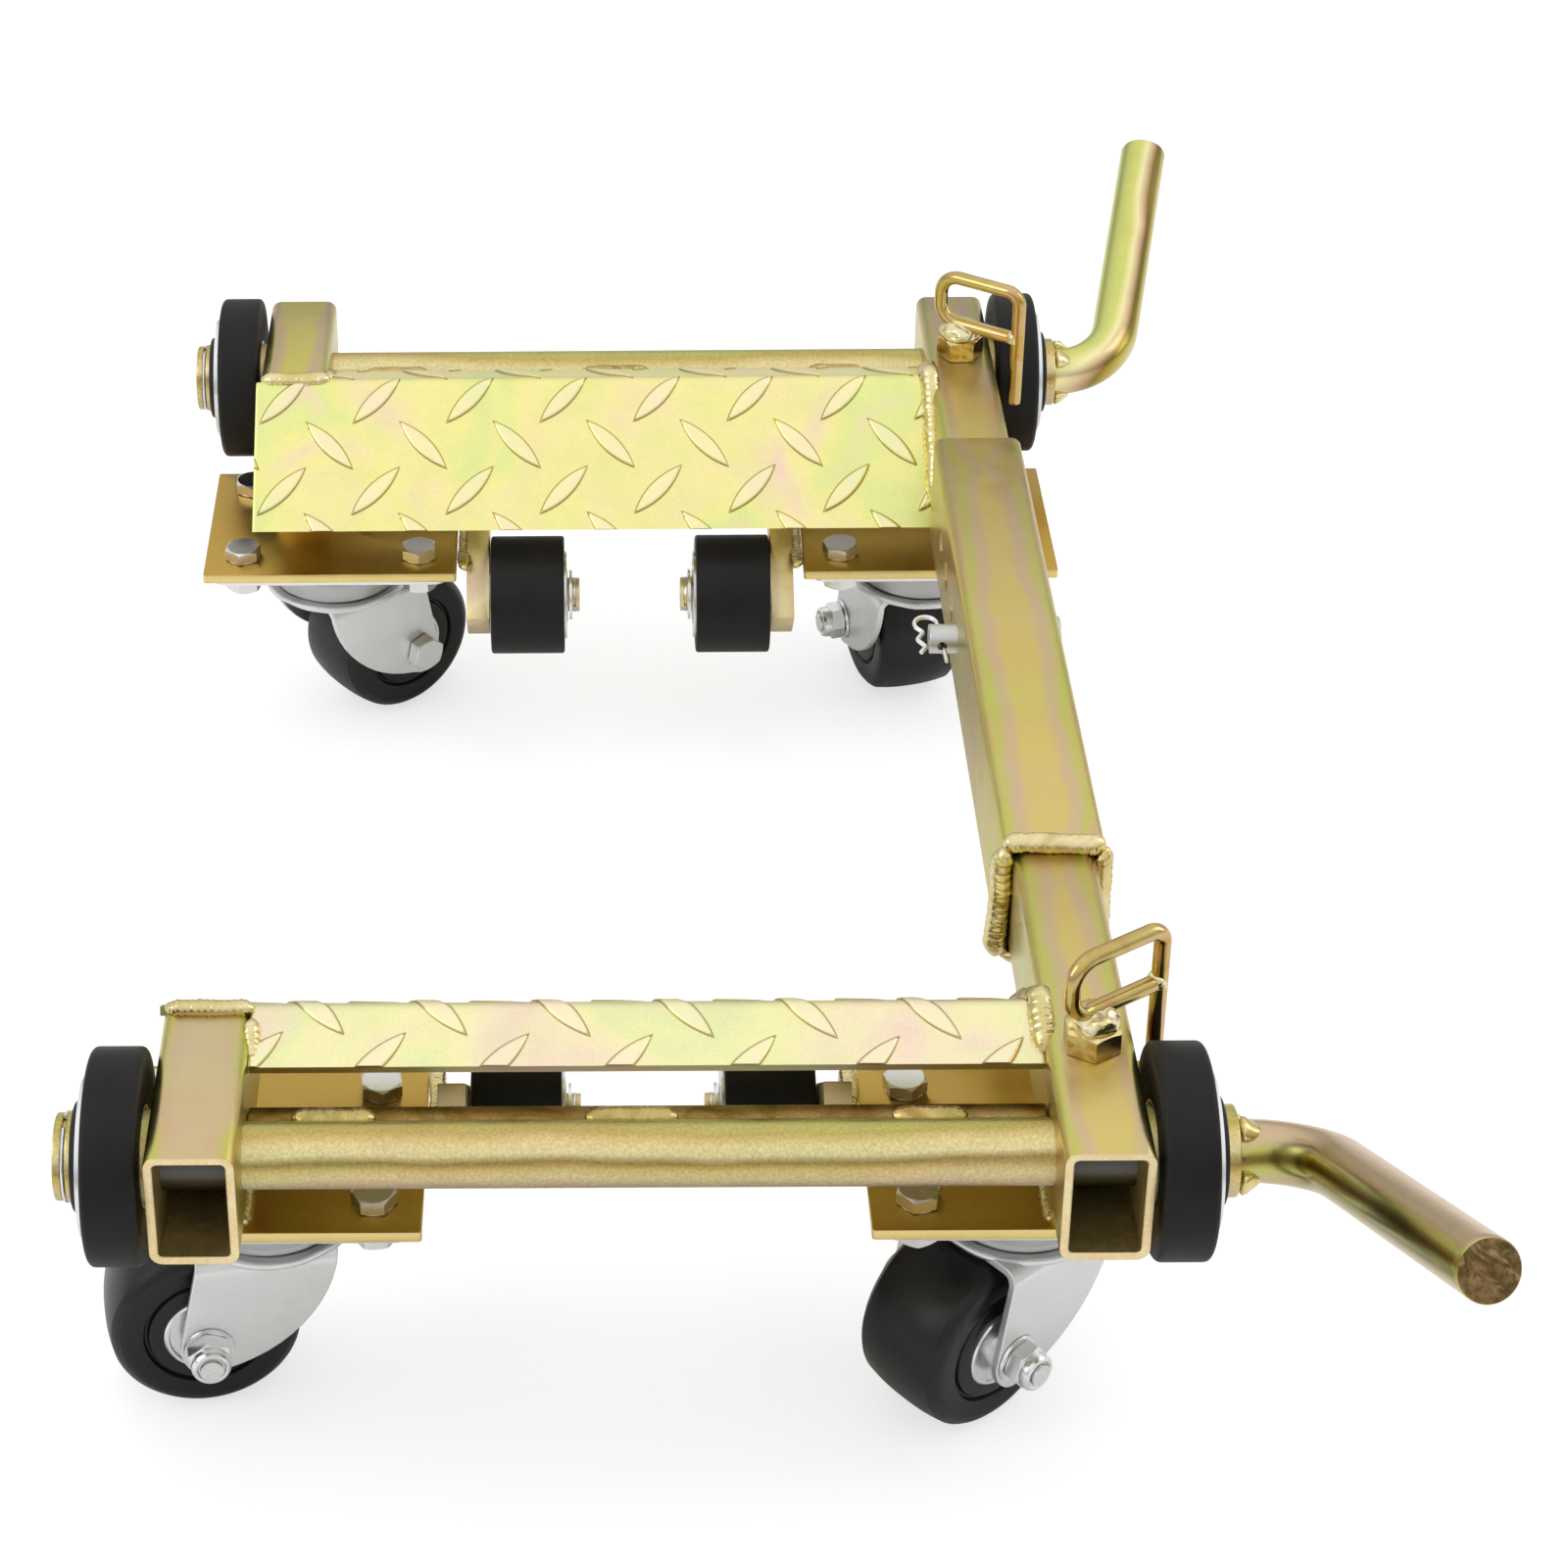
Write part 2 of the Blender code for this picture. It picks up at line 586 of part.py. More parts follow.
def caster_top(arm, side, end):
    """A caster's fixed half: its own plate, the upper ball race, and the four bolts through it."""
    centre = caster_centre(side, end)
    half = Vector((TOP_X / 2, TOP_Y / 2, 0))
    under = TOP_PLATE_Z - TOP_T
    top = mesh_object(
        f"{arm}_{end}_caster_top",
        box_bm(at_height(centre - half, under), at_height(centre + half, TOP_PLATE_Z)),
        PARTS,
    )
    race = cylinder_bm(at_height(centre, CROWN_TOP + GAP), at_height(centre, under + 0.002), RACE_R, 32)
    join(top, cutter(f"{top.name}_race", race))
    head_low = PLATE_TOP + GAP
    for i, place in enumerate(bolt_places(side, end), 1):
        shank = cylinder_bm(at_height(place, under - 0.002), at_height(place, head_low + 0.002), BOLT_R, 12)
        head = hex_bm(at_height(place, head_low), at_height(place, head_low + BOLT_HEAD_H), BOLT_AF, 0.4 * i)
        nut = hex_bm(at_height(place, under - NUT_H), at_height(place, under + 0.001), BOLT_AF, 0.7 * i)
        for kind, bm in (("shank", shank), ("head", head), ("nut", nut)):
            join(top, cutter(f"{top.name}_{kind}_{i}", bm))
    finish(top, "silver_zinc")


def caster_frame(side, end, arm):
    """Axes of a caster: u is the way the wheel trails, v is up, the third axis is the wheel's axle."""
    yaw = math.radians(CASTER_YAW[f"{arm}_{end}"])
    trail = Vector((math.cos(yaw), math.sin(yaw), 0))
    up = Vector((0, 0, 1))
    axle = trail.cross(up)
    frame = Matrix((trail, up, axle)).transposed().to_4x4()
    frame.translation = caster_centre(side, end)
    return frame


def caster_fork(arm, side, end):
    frame = caster_frame(side, end, arm)
    centre = frame.translation
    crown = cylinder_bm(at_height(centre, CROWN_TOP - CROWN_T), at_height(centre, CROWN_TOP), CROWN_R, 32)
    fork = mesh_object(f"{arm}_{end}_caster_fork", crown, PARTS, tuple(centre))
    arc_u, arc_v = CHEEK_ARC_CENTRE
    leading = [math.radians(a) for a in range(186, 259, 12)]
    boss = [math.radians(a) for a in range(-90, 1, 30)]
    cheek_top = CROWN_TOP - 0.001
    outline = [(arc_u - CHEEK_ARC_R, cheek_top)]
    outline += [(arc_u + CHEEK_ARC_R * math.cos(a), arc_v + CHEEK_ARC_R * math.sin(a)) for a in leading]
    outline += [
        (CASTER_TRAIL + BOSS_BACK * math.cos(a), CASTER_WHEEL_R + BOSS_DOWN * math.sin(a)) for a in boss
    ]
    outline += [(CHEEK_TOP_BACK, cheek_top)]
    for kind, sign in (("front", -1), ("back", 1)):
        faces = sorted((sign * FORK_INNER, sign * (FORK_INNER + FORK_T)))
        join(fork, cutter(f"{fork.name}_{kind}", prism_bm(outline, *faces, frame)))
    hole = [frame @ Vector((CASTER_TRAIL, CASTER_WHEEL_R, w)) for w in (-0.05, 0.05)]
    cut(fork, cutter(f"{fork.name}_hole", cylinder_bm(*hole, AXLE_R + GAP, 16)))
    finish(fork, "silver_zinc")


def caster_wheel(arm, side, end):
    frame = caster_frame(side, end, arm)
    origin = frame @ Vector((CASTER_TRAIL, CASTER_WHEEL_R, 0))
    axis = frame.to_3x3() @ Vector((0, 0, 1))
    half = CASTER_WHEEL_W / 2
    edge_r, recess_r, recess = CASTER_WHEEL_R - 0.004, 0.029, 0.002
    bore = AXLE_R + GAP
    tread = [(half * t, CASTER_WHEEL_R - 0.003 * t * t) for t in (0.85, 0.5, 0, -0.5, -0.85)]
    profile = [
        (half, bore), (half, 0.013), (half - recess, 0.014), (half - recess, recess_r),
        (half - 0.0005, recess_r + 0.001), (half - 0.0005, edge_r - 0.002), *tread,
        (0.0005 - half, edge_r - 0.002), (0.0005 - half, recess_r + 0.001), (recess - half, recess_r),
        (recess - half, 0.014), (-half, 0.013), (-half, bore),
    ]
    finish(turned(f"{arm}_{end}_caster_wheel", profile, origin, axis, PARTS, 32), "nylon")


def caster_axle(arm, side, end):
    """The axle bolt: head on one side of the fork, nylon-insert nut on the other."""
    frame = caster_frame(side, end, arm)
    face = FORK_INNER + FORK_T + GAP

    def along(w):
        return frame @ Vector((CASTER_TRAIL, CASTER_WHEEL_R, w))

    origin = tuple(along(0))
    shank = cylinder_bm(along(face + 0.005), along(-face - 0.016), AXLE_R, 16)
    bolt = mesh_object(f"{arm}_{end}_caster_axle", shank, PARTS, origin)
    join(bolt, cutter(f"{bolt.name}_head", hex_bm(along(face), along(face + 0.008), AXLE_AF)))
    join(bolt, cutter(f"{bolt.name}_nut", hex_bm(along(-face), along(-face - 0.009), AXLE_AF, 0.3)))
    collar = cylinder_bm(along(-face - 0.008), along(-face - 0.013), AXLE_AF / 2 - 0.001, 20)
    join(bolt, cutter(f"{bolt.name}_collar", collar))
    finish(bolt, "silver_zinc")


# Loop pins, lock pin and clip -------------------------------------------------------------------


def loop_nut(arm, side):
    y = inboard_y(side, LOOP_INBOARD)
    low = TUBE_TOP + GAP
    bm = hex_bm((CROSS_X, y, low), (CROSS_X, y, low + LOOP_NUT_H), LOOP_NUT_AF)
    nut = mesh_object(f"{arm}_pin_nut", bm, PARTS, (CROSS_X, y, 0))
    ends = [(CROSS_X, y, low + dz) for dz in (-0.01, LOOP_NUT_H + 0.01)]
    cut(nut, cutter(f"{nut.name}_bore", cylinder_bm(*ends, PLUNGER_R + 0.0005, 20)))
    finish(nut, "yellow_zinc")


def loop_pin(arm, side):
    """A plunger through the nut, with a domed top and a bent wire loop to lift it by."""
    y = inboard_y(side, LOOP_INBOARD)
    heading = Vector((math.cos(LOOP_TURN), -side * math.sin(LOOP_TURN), 0))
    axis = Vector((CROSS_X, y, TUBE_TOP))

    def at(along, height):
        return axis + heading * along + Vector((0, 0, height))

    plunger = cylinder_bm(at(0, -PLUNGER_DEPTH), at(0, LOOP_LOW), PLUNGER_R, 20)
    pin = mesh_object(f"{arm}_loop_pin", plunger, PARTS, (CROSS_X, y, 0))
    nut_top = LOOP_NUT_H + 2 * GAP
    dome = bmesh.new()
    place = Matrix.Translation(at(0, nut_top + 0.0035))
    bmesh.ops.create_cone(
        dome, cap_ends=True, segments=24, radius1=0.0095, radius2=0.006, depth=0.007, matrix=place
    )
    join(pin, cutter(f"{pin.name}_dome", dome))
    corners = [
        at(LOOP_RIGHT - WIRE_R, LOOP_LOW), at(LOOP_LEFT, LOOP_LOW), at(LOOP_LEFT, LOOP_HIGH),
        at(LOOP_RIGHT, LOOP_HIGH), at(LOOP_RIGHT, LOOP_TAIL),
    ]
    path = rounded_path(corners, [0.012, 0.012, 0.008], 5)
    join(pin, helper(wire(f"{pin.name}_wire", path, WIRE_R, CUTTERS)))
    finish(pin, "yellow_zinc")


def lock_pin():
    y = from_near(LOCK_HOLE_FIRST)
    left = CROSS_X - SLEEVE_W / 2 - PIN_OUT
    right = CROSS_X + SLEEVE_W / 2
    bm = cylinder_bm((left, y, LOCK_Z), (right + 0.003, y, LOCK_Z), LOCK_PIN_R, 24)
    pin = mesh_object("lock_pin", bm, PARTS, (left, y, LOCK_Z))
    head = cylinder_bm((right + GAP, y, LOCK_Z), (right + PIN_HEAD_T, y, LOCK_Z), PIN_HEAD_R, 24)
    join(pin, cutter("lock_pin_head", head))
    hole_x = left + PIN_HOLE_FROM_END
    hole = cylinder_bm((hole_x, y - 0.015, LOCK_Z), (hole_x, y + 0.015, LOCK_Z), CLIP_HOLE_R, 12)
    cut(pin, cutter("lock_pin_hole", hole))
    finish(pin, "silver_zinc")


def lock_clip():
    """The R-clip: one straight leg through the pin, a round eye, and a wavy leg past the pin's end."""
    left = CROSS_X - SLEEVE_W / 2 - PIN_OUT
    hole = Vector((left + PIN_HOLE_FROM_END, from_near(LOCK_HOLE_FIRST), LOCK_Z))
    place = Matrix.Translation(hole) @ Matrix.Rotation(CLIP_TURN, 4, "Z") @ Matrix.Rotation(CLIP_TILT, 4, "X")
    eye_r = 0.0062
    turns = [math.radians(a) for a in range(0, 211, 30)]
    eye = [(eye_r * (math.cos(a) - 1), 0.013 + eye_r * math.sin(a)) for a in turns]
    wave = [(-0.0088, 0.0062), (-0.0130, 0.0002), (-0.0092, -0.0060), (-0.0125, -0.0105)]
    path = [place @ Vector((x, y, 0)) for x, y in [(0, -0.019), *eye, *wave]]
    clip = wire("lock_clip", path, CLIP_R, PARTS, 2)
    finish(clip, "silver_zinc", smooth=True)


clear_scene()
PARTS = new_collection("wheel_dolly")
CUTTERS = new_collection("cutters")
for arm_name, arm_side in SIDES.items():
    stub_tube(arm_name, arm_side)
    ramp(arm_name, arm_side)
    axle_rod(arm_name, arm_side)
    stiffener_bar(arm_name, arm_side)
    handle(arm_name, arm_side)
    loop_nut(arm_name, arm_side)
    loop_pin(arm_name, arm_side)
    for end_name in ("left", "right"):
        end_wheel(arm_name, arm_side, end_name)
        roller(arm_name, arm_side, end_name)
        roller_bracket(arm_name, arm_side, end_name)
        caster_plate(arm_name, arm_side, end_name)
        caster_top(arm_name, arm_side, end_name)
        caster_fork(arm_name, arm_side, end_name)
        caster_wheel(arm_name, arm_side, end_name)
        caster_axle(arm_name, arm_side, end_name)
cross_tube("near", SIDES["near"], NEAR_TUBE_LENGTH)
lock_slot(cross_tube("far", SIDES["far"], FAR_TUBE_LENGTH))
sleeve()
lock_pin()
lock_clip()
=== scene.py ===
import math
import random

import bmesh
import bpy
from mathutils import Matrix, Vector, noise


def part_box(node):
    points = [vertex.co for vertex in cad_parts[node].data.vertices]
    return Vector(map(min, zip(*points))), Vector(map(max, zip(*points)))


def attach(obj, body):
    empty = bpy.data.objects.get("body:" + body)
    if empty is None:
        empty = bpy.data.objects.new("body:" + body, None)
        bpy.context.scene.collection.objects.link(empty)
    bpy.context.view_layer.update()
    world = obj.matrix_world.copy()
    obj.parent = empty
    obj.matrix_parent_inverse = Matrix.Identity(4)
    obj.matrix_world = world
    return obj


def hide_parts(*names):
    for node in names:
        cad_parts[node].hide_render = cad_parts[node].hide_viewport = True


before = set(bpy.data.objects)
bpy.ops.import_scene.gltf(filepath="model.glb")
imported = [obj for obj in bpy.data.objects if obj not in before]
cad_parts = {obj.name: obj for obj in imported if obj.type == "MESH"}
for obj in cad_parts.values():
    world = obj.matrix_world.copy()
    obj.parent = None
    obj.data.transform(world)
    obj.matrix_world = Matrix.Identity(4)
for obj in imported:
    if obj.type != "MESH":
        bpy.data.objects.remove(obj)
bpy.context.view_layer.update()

# Layout, read from the CAD. Heights are over the tubes' top faces, "inboard" runs from an arm's tube ends
# towards the tyre bay, and x runs from the left tubes' outer faces.
STUB_LOW, STUB_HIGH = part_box("near_stub_tube")
LEFT, TOP, HALF_SPAN = STUB_LOW.x, STUB_HIGH.z, -STUB_LOW.y
CROSS_LOW, CROSS_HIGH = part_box("near_cross_tube")
ARM_W = CROSS_HIGH.x - LEFT
TUBE_W = STUB_HIGH.x - STUB_LOW.x
TUBE_H = STUB_HIGH.z - STUB_LOW.z
SLEEVE_LOW, SLEEVE_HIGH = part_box("sleeve")
ROD_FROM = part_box("near_axle_rod")[0].x - LEFT
ROD_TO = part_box("near_axle_rod")[1].x - LEFT
ROD_IN, ROD_H = 0.040, -0.032          # the axle rod's centre: inboard and height
ROLLER_IN, ROLLER_H = 0.165, -0.113    # the inner rollers' centres
CASTER_IN, CASTER_FROM_END = 0.116, 0.042
GAP = 0.0003                           # between pieces that touch in the real object
WALL = 0.004                           # of the tubes
SLOPE = math.radians(40)               # main face of a ramp
STRIP = math.radians(20)               # its narrow outer face
CREST = (0.1058, 0.0019)               # where the two faces meet: inboard and height
RAMP_T = 0.005
SIDES = {"near": -1, "far": 1}
ENDS = {"left": 1, "right": -1}
CASTER_YAW = {"near_left": 190, "near_right": 220, "far_left": 38, "far_right": 105}


def spot(arm, x, inboard, height):
    """A point of an arm, in the row frame."""
    return Vector((LEFT + x, SIDES[arm] * (HALF_SPAN - inboard), TOP + height))


def from_end(end, distance):
    return distance if end == "left" else ARM_W - distance


# Mesh building -------------------------------------------------------------------------------------


def mesh_from(bm):
    mesh = bpy.data.meshes.new("piece")
    bm.to_mesh(mesh)
    bm.free()
    return mesh


def mesh_of(points, faces):
    mesh = bpy.data.meshes.new("piece")
    mesh.from_pydata([tuple(p) for p in points], [], [tuple(f) for f in faces])
    mesh.validate()
    bm = bmesh.new()
    bm.from_mesh(mesh)
    bmesh.ops.recalc_face_normals(bm, faces=bm.faces)
    bm.to_mesh(mesh)
    bm.free()
    return mesh


def piece(name, mesh, body, material, *nodes, angle=32):
    """A finished piece that rides on a body and may stand for CAD nodes."""
    mesh.name = name
    mesh.materials.clear()
    mesh.materials.append(material)
    mesh.shade_smooth()
    mesh.set_sharp_from_angle(angle=math.radians(angle))
    obj = bpy.data.objects.new(name, mesh)
    bpy.context.scene.collection.objects.link(obj)
    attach(obj, body)
    if nodes:
        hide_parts(*nodes)
    return obj


def joined(*meshes):
    """Several meshes as one."""
    bm = bmesh.new()
    for mesh in meshes:
        bm.from_mesh(mesh)
    return mesh_from(bm)


def bridge(rings, closed_ends=True, loop=False):
    """Faces between rings of equal length; each ring is a closed loop of points."""
    count = len(rings[0])
    points = [p for ring in rings for p in ring]
    faces = []
    last = len(rings) if loop else len(rings) - 1
    for r in range(last):
        a, b = r * count, ((r + 1) % len(rings)) * count
        for i in range(count):
            j = (i + 1) % count
            faces.append((a + i, a + j, b + j, b + i))
    if closed_ends and not loop:
        faces.append(tuple(range(count))[::-1])
        faces.append(tuple(range(len(points) - count, len(points))))
    return mesh_of(points, faces)


def turn_to(axis):
    return Vector((0, 0, 1)).rotation_difference(Vector(axis).normalized()).to_matrix()


def lathe(profile, origin, axis, segments=96):
    """A turned shape from (along the axis, radius) points. A profile that ends off the axis is a ring."""
    place = turn_to(axis)
    origin = Vector(origin)
    on_axis = profile[0][1] < 1e-6
    body = profile[1:-1] if on_axis else profile
    rings = []
    for along, radius in body:
        ring = []
        for i in range(segments):
            a = 2 * math.pi * i / segments
            ring.append(origin + place @ Vector((radius * math.cos(a), radius * math.sin(a), along)))
        rings.append(ring)
    return bridge(rings, closed_ends=on_axis, loop=not on_axis)


def fillet(points, radius, steps=4, closed=True):
    """The outline with rounded corners. The radius is one number or one for each corner."""
    points = [Vector((*p, 0)) if len(p) == 2 else Vector(p) for p in points]
    count = len(points)
    radii = radius if isinstance(radius, (list, tuple)) else [radius] * count
    out = []
    for i, corner in enumerate(points):
        if (not closed and i in (0, count - 1)) or radii[i] <= 0:
            out.append(corner)
            continue
        before, after = points[i - 1], points[(i + 1) % count]
        back, ahead = (before - corner).normalized(), (after - corner).normalized()
        spread = back.angle(ahead)
        if spread > math.pi - 0.01:
            out.append(corner)
            continue
        reach = radii[i] / math.tan(spread / 2)
        share_before = 0.98 if not closed and i == 1 else 0.49
        share_after = 0.98 if not closed and i == count - 2 else 0.49
        reach = min(reach, share_before * (before - corner).length, share_after * (after - corner).length)
        r = reach * math.tan(spread / 2)
        centre = corner + (back + ahead).normalized() * r / math.sin(spread / 2)
        first, last = corner + back * reach - centre, corner + ahead * reach - centre
        sweep = first.angle(last)
        for k in range(steps + 1):
            t = k / steps
            mix = first * math.sin((1 - t) * sweep) + last * math.sin(t * sweep)
            out.append(centre + mix / math.sin(sweep))
    return out


def prism(outline, low, high, place, edge=0.0006, steps=2):
    """An outline pushed along the third axis of a frame, with softened rims."""
    bm = bmesh.new()
    verts = [bm.verts.new((p[0], p[1], low)) for p in outline]
    face = bm.faces.new(verts)
    pushed = bmesh.ops.extrude_face_region(bm, geom=[face])
    moved = [g for g in pushed["geom"] if isinstance(g, bmesh.types.BMVert)]
    bmesh.ops.translate(bm, verts=moved, vec=(0, 0, high - low))
    bmesh.ops.recalc_face_normals(bm, faces=bm.faces)
    if edge > 0:
        sharp = [e for e in bm.edges if len(e.link_faces) == 2 and e.calc_face_angle(0) > 0.6]
        bmesh.ops.bevel(bm, geom=sharp, offset=edge, segments=steps, profile=0.5, affect="EDGES")
    bmesh.ops.transform(bm, matrix=place, verts=bm.verts)
    bmesh.ops.recalc_face_normals(bm, faces=bm.faces)
    return mesh_from(bm)


def block(low, high, edge=0.0006, corner=0.0):
    """A box between two corners; corner rounds its upright edges."""
    low, high = Vector(low), Vector(high)
    low, high = Vector(map(min, low, high)), Vector(map(max, low, high))
    outline = [(low.x, low.y), (high.x, low.y), (high.x, high.y), (low.x, high.y)]
    if corner:
        outline = fillet(outline, corner, 6)
    return prism(outline, low.z, high.z, Matrix.Identity(4), edge)


def sweep(path, radius, sides=24, dome=0.0):
    """A round bar along a path; radius is a number or a function of (share of the length, turn)."""
    path = [Vector(p) for p in path]
    tangents = []
    for i in range(len(path)):
        ahead = path[min(i + 1, len(path) - 1)] - path[max(i - 1, 0)]
        tangents.append(ahead.normalized())
    side = tangents[0].orthogonal().normalized()
    rings = []
    for i, (p, t) in enumerate(zip(path, tangents)):
        side = (side - t * side.dot(t)).normalized()
        across = t.cross(side)
        share = i / (len(path) - 1)
        ring = []
        for k in range(sides):
            a = 2 * math.pi * k / sides
            r = radius(share, a) if callable(radius) else radius
            ring.append(p + (side * math.cos(a) + across * math.sin(a)) * r)
        rings.append(ring)
    if dome:
        rings = dome_end(rings, path[0], -tangents[0], dome)[::-1] + rings
        rings += dome_end(rings[::-1], path[-1], tangents[-1], dome)
    return bridge(rings)


def dome_end(rings, centre, out, edge):
    """Two smaller rings that round off a bar's end."""
    made = []
    for k in (1, 2):
        a = math.pi / 4 * k
        ring = []
        for p in rings[0]:
            arm = p - centre
            shrink = 1 - edge / arm.length * (1 - math.cos(a))
            ring.append(centre + arm * shrink + out * edge * math.sin(a))
        made.append(ring)
    return made


def rounded_path(corners, radii, steps=10):
    return fillet([tuple(c) for c in corners], [0, *radii, 0], steps, closed=False)


def resample(path, spacing):
    path = [Vector(p) for p in path]
    out = [path[0]]
    for a, b in zip(path, path[1:]):
        n = max(1, round((b - a).length / spacing))
        out += [a.lerp(b, (i + 1) / n) for i in range(n)]
    return out


def bead(path, size, seed, pitch, squash, lean):
    """A weld bead with crescent ripples along a path. lean is the direction that it bulges to."""
    rng = random.Random(seed)
    path = resample(path, 0.00055)
    length = sum((b - a).length for a, b in zip(path, path[1:]))
    count = len(path)
    phase = rng.random() * 6
    lean = Vector(lean).normalized()
    sides = 18
    rings = []
    run = 0.0
    for i, p in enumerate(path):
        if i:
            run += (p - path[i - 1]).length
        t = (path[min(i + 1, count - 1)] - path[max(i - 1, 0)]).normalized()
        up = (lean - t * lean.dot(t)).normalized()
        across = t.cross(up)
        ends = min(run, length - run)
        taper = math.sqrt(max(0.0, min(1.0, ends / (size * 1.1)))) * 0.9 + 0.1
        wob = noise.noise(Vector((run * 90, seed * 3.1, phase))) * 0.12
        shift = noise.noise(Vector((run * 60, seed * 5.7, 4.0))) * size * 0.25
        ring = []
        for k in range(sides):
            a = 2 * math.pi * k / sides
            crescent = run / pitch + 0.35 * math.cos(a) + 0.25 * noise.noise(Vector((run * 200, a, seed)))
            saw = crescent % 1.0
            ripple = 0.12 * (1 - saw) ** 0.7 - 0.055
            crinkle = 0.07 * noise.noise(Vector((run * 650, a * 1.6, seed * 2.3)))
            r = size * taper * (1 + wob + ripple + crinkle)
            ring.append(p + up * math.cos(a) * r * squash + across * (math.sin(a) * r + shift))
        rings.append(ring)
    return bridge(rings)


def blob(centre, size, seed, stretch=(1, 1, 1)):
    """A lump of weld metal."""
    bm = bmesh.new()
    bmesh.ops.create_icosphere(bm, subdivisions=4, radius=1)
    for v in bm.verts:
        n = noise.noise(v.co * 1.6 + Vector((seed, 0, 0))) * 0.22
        n += noise.noise(v.co * 4.0 + Vector((0, seed, 0))) * 0.07
        v.co *= 1 + n
        v.co = Vector(centre) + v.co * Vector(stretch) * size
    return mesh_from(bm)


def tack(foot, run, out, seed, size):
    """A short weld pulled out into a ridge, from a broad foot on a collar to a thin tail along a bar."""
    steps = 14
    side = run.cross(out).normalized()
    rings = []
    for i in range(steps + 1):
        t = i / steps
        centre = foot.lerp(foot + run, t)
        wide = size * 0.0054 * (1 - 0.62 * t ** 2) * (0.35 + 0.65 * min(1.0, t * 6))
        tall = 0.0045 * (1 - 0.75 * t ** 2) * (0.35 + 0.65 * min(1.0, t * 6))
        ring = []
        for k in range(20):
            a = 2 * math.pi * k / 20
            n = 1 + 0.16 * noise.noise(Vector((t * 3.0, math.cos(a) * 1.5 + seed, math.sin(a) * 1.5)))
            ring.append(centre + side * math.cos(a) * wide * n + out * math.sin(a) * tall * n)
        rings.append(ring)
    return bridge(rings)


def hexagon(base, axis, flats, height, turn=0.0, both=False, bore=0.0):
    """A hex head or nut with chamfered corners, standing on base."""
    place = turn_to(axis)
    base = Vector(base)
    count = 96
    chamfer, slope = flats / 2 * 0.95, 0.5

    def ring(at, size=None):
        out = []
        for i in range(count):
            a = 2 * math.pi * i / count
            local = (a + math.pi / 6) % (math.pi / 3) - math.pi / 6
            r = flats / 2 / math.cos(local)
            z = at(r)
            r = r if size is None else size
            out.append(base + place @ Vector((r * math.cos(a + turn), r * math.sin(a + turn), z)))
        return out

    rings = []
    if both:
        rings.append(ring(lambda r: 0.0, chamfer))
        rings.append(ring(lambda r: (r - chamfer) * slope))
    else:
        rings.append(ring(lambda r: 0.0))
    rings.append(ring(lambda r: height - (r - chamfer) * slope))
    rings.append(ring(lambda r: height, chamfer))
    if bore:
        rings.append(ring(lambda r: height, bore))
        rings.append(ring(lambda r: 0.0, bore))
        return bridge(rings, loop=True)
    return bridge(rings)


def boolean(mesh, other, operation):
    """The mesh after an exact Boolean with another."""
    pair = []
    for data in (mesh, other):
        obj = bpy.data.objects.new("working", data)
        bpy.context.scene.collection.objects.link(obj)
        pair.append(obj)
    step = pair[0].modifiers.new("Boolean", "BOOLEAN")
    step.operation = operation
    step.solver = "EXACT"
    step.object = pair[1]
    graph = bpy.context.evaluated_depsgraph_get()
    made = bpy.data.meshes.new_from_object(pair[0].evaluated_get(graph))
    for obj in pair:
        bpy.data.objects.remove(obj)
    return made


def cylinder(start, end, radius, segments=64):
    start, end = Vector(start), Vector(end)
    axis = end - start
    return lathe([(0, 0), (0, radius), (axis.length, radius), (axis.length, 0)], start, axis, segments)


def arm_frame(arm):
    """u is inboard, v is up, the third axis is x; the matrix gives the row frame."""
    side = SIDES[arm]
    return Matrix(((0, 0, 1, LEFT), (-side, 0, 0, side * HALF_SPAN), (0, 1, 0, TOP), (0, 0, 0, 1)))


# Materials -----------------------------------------------------------------------------------------


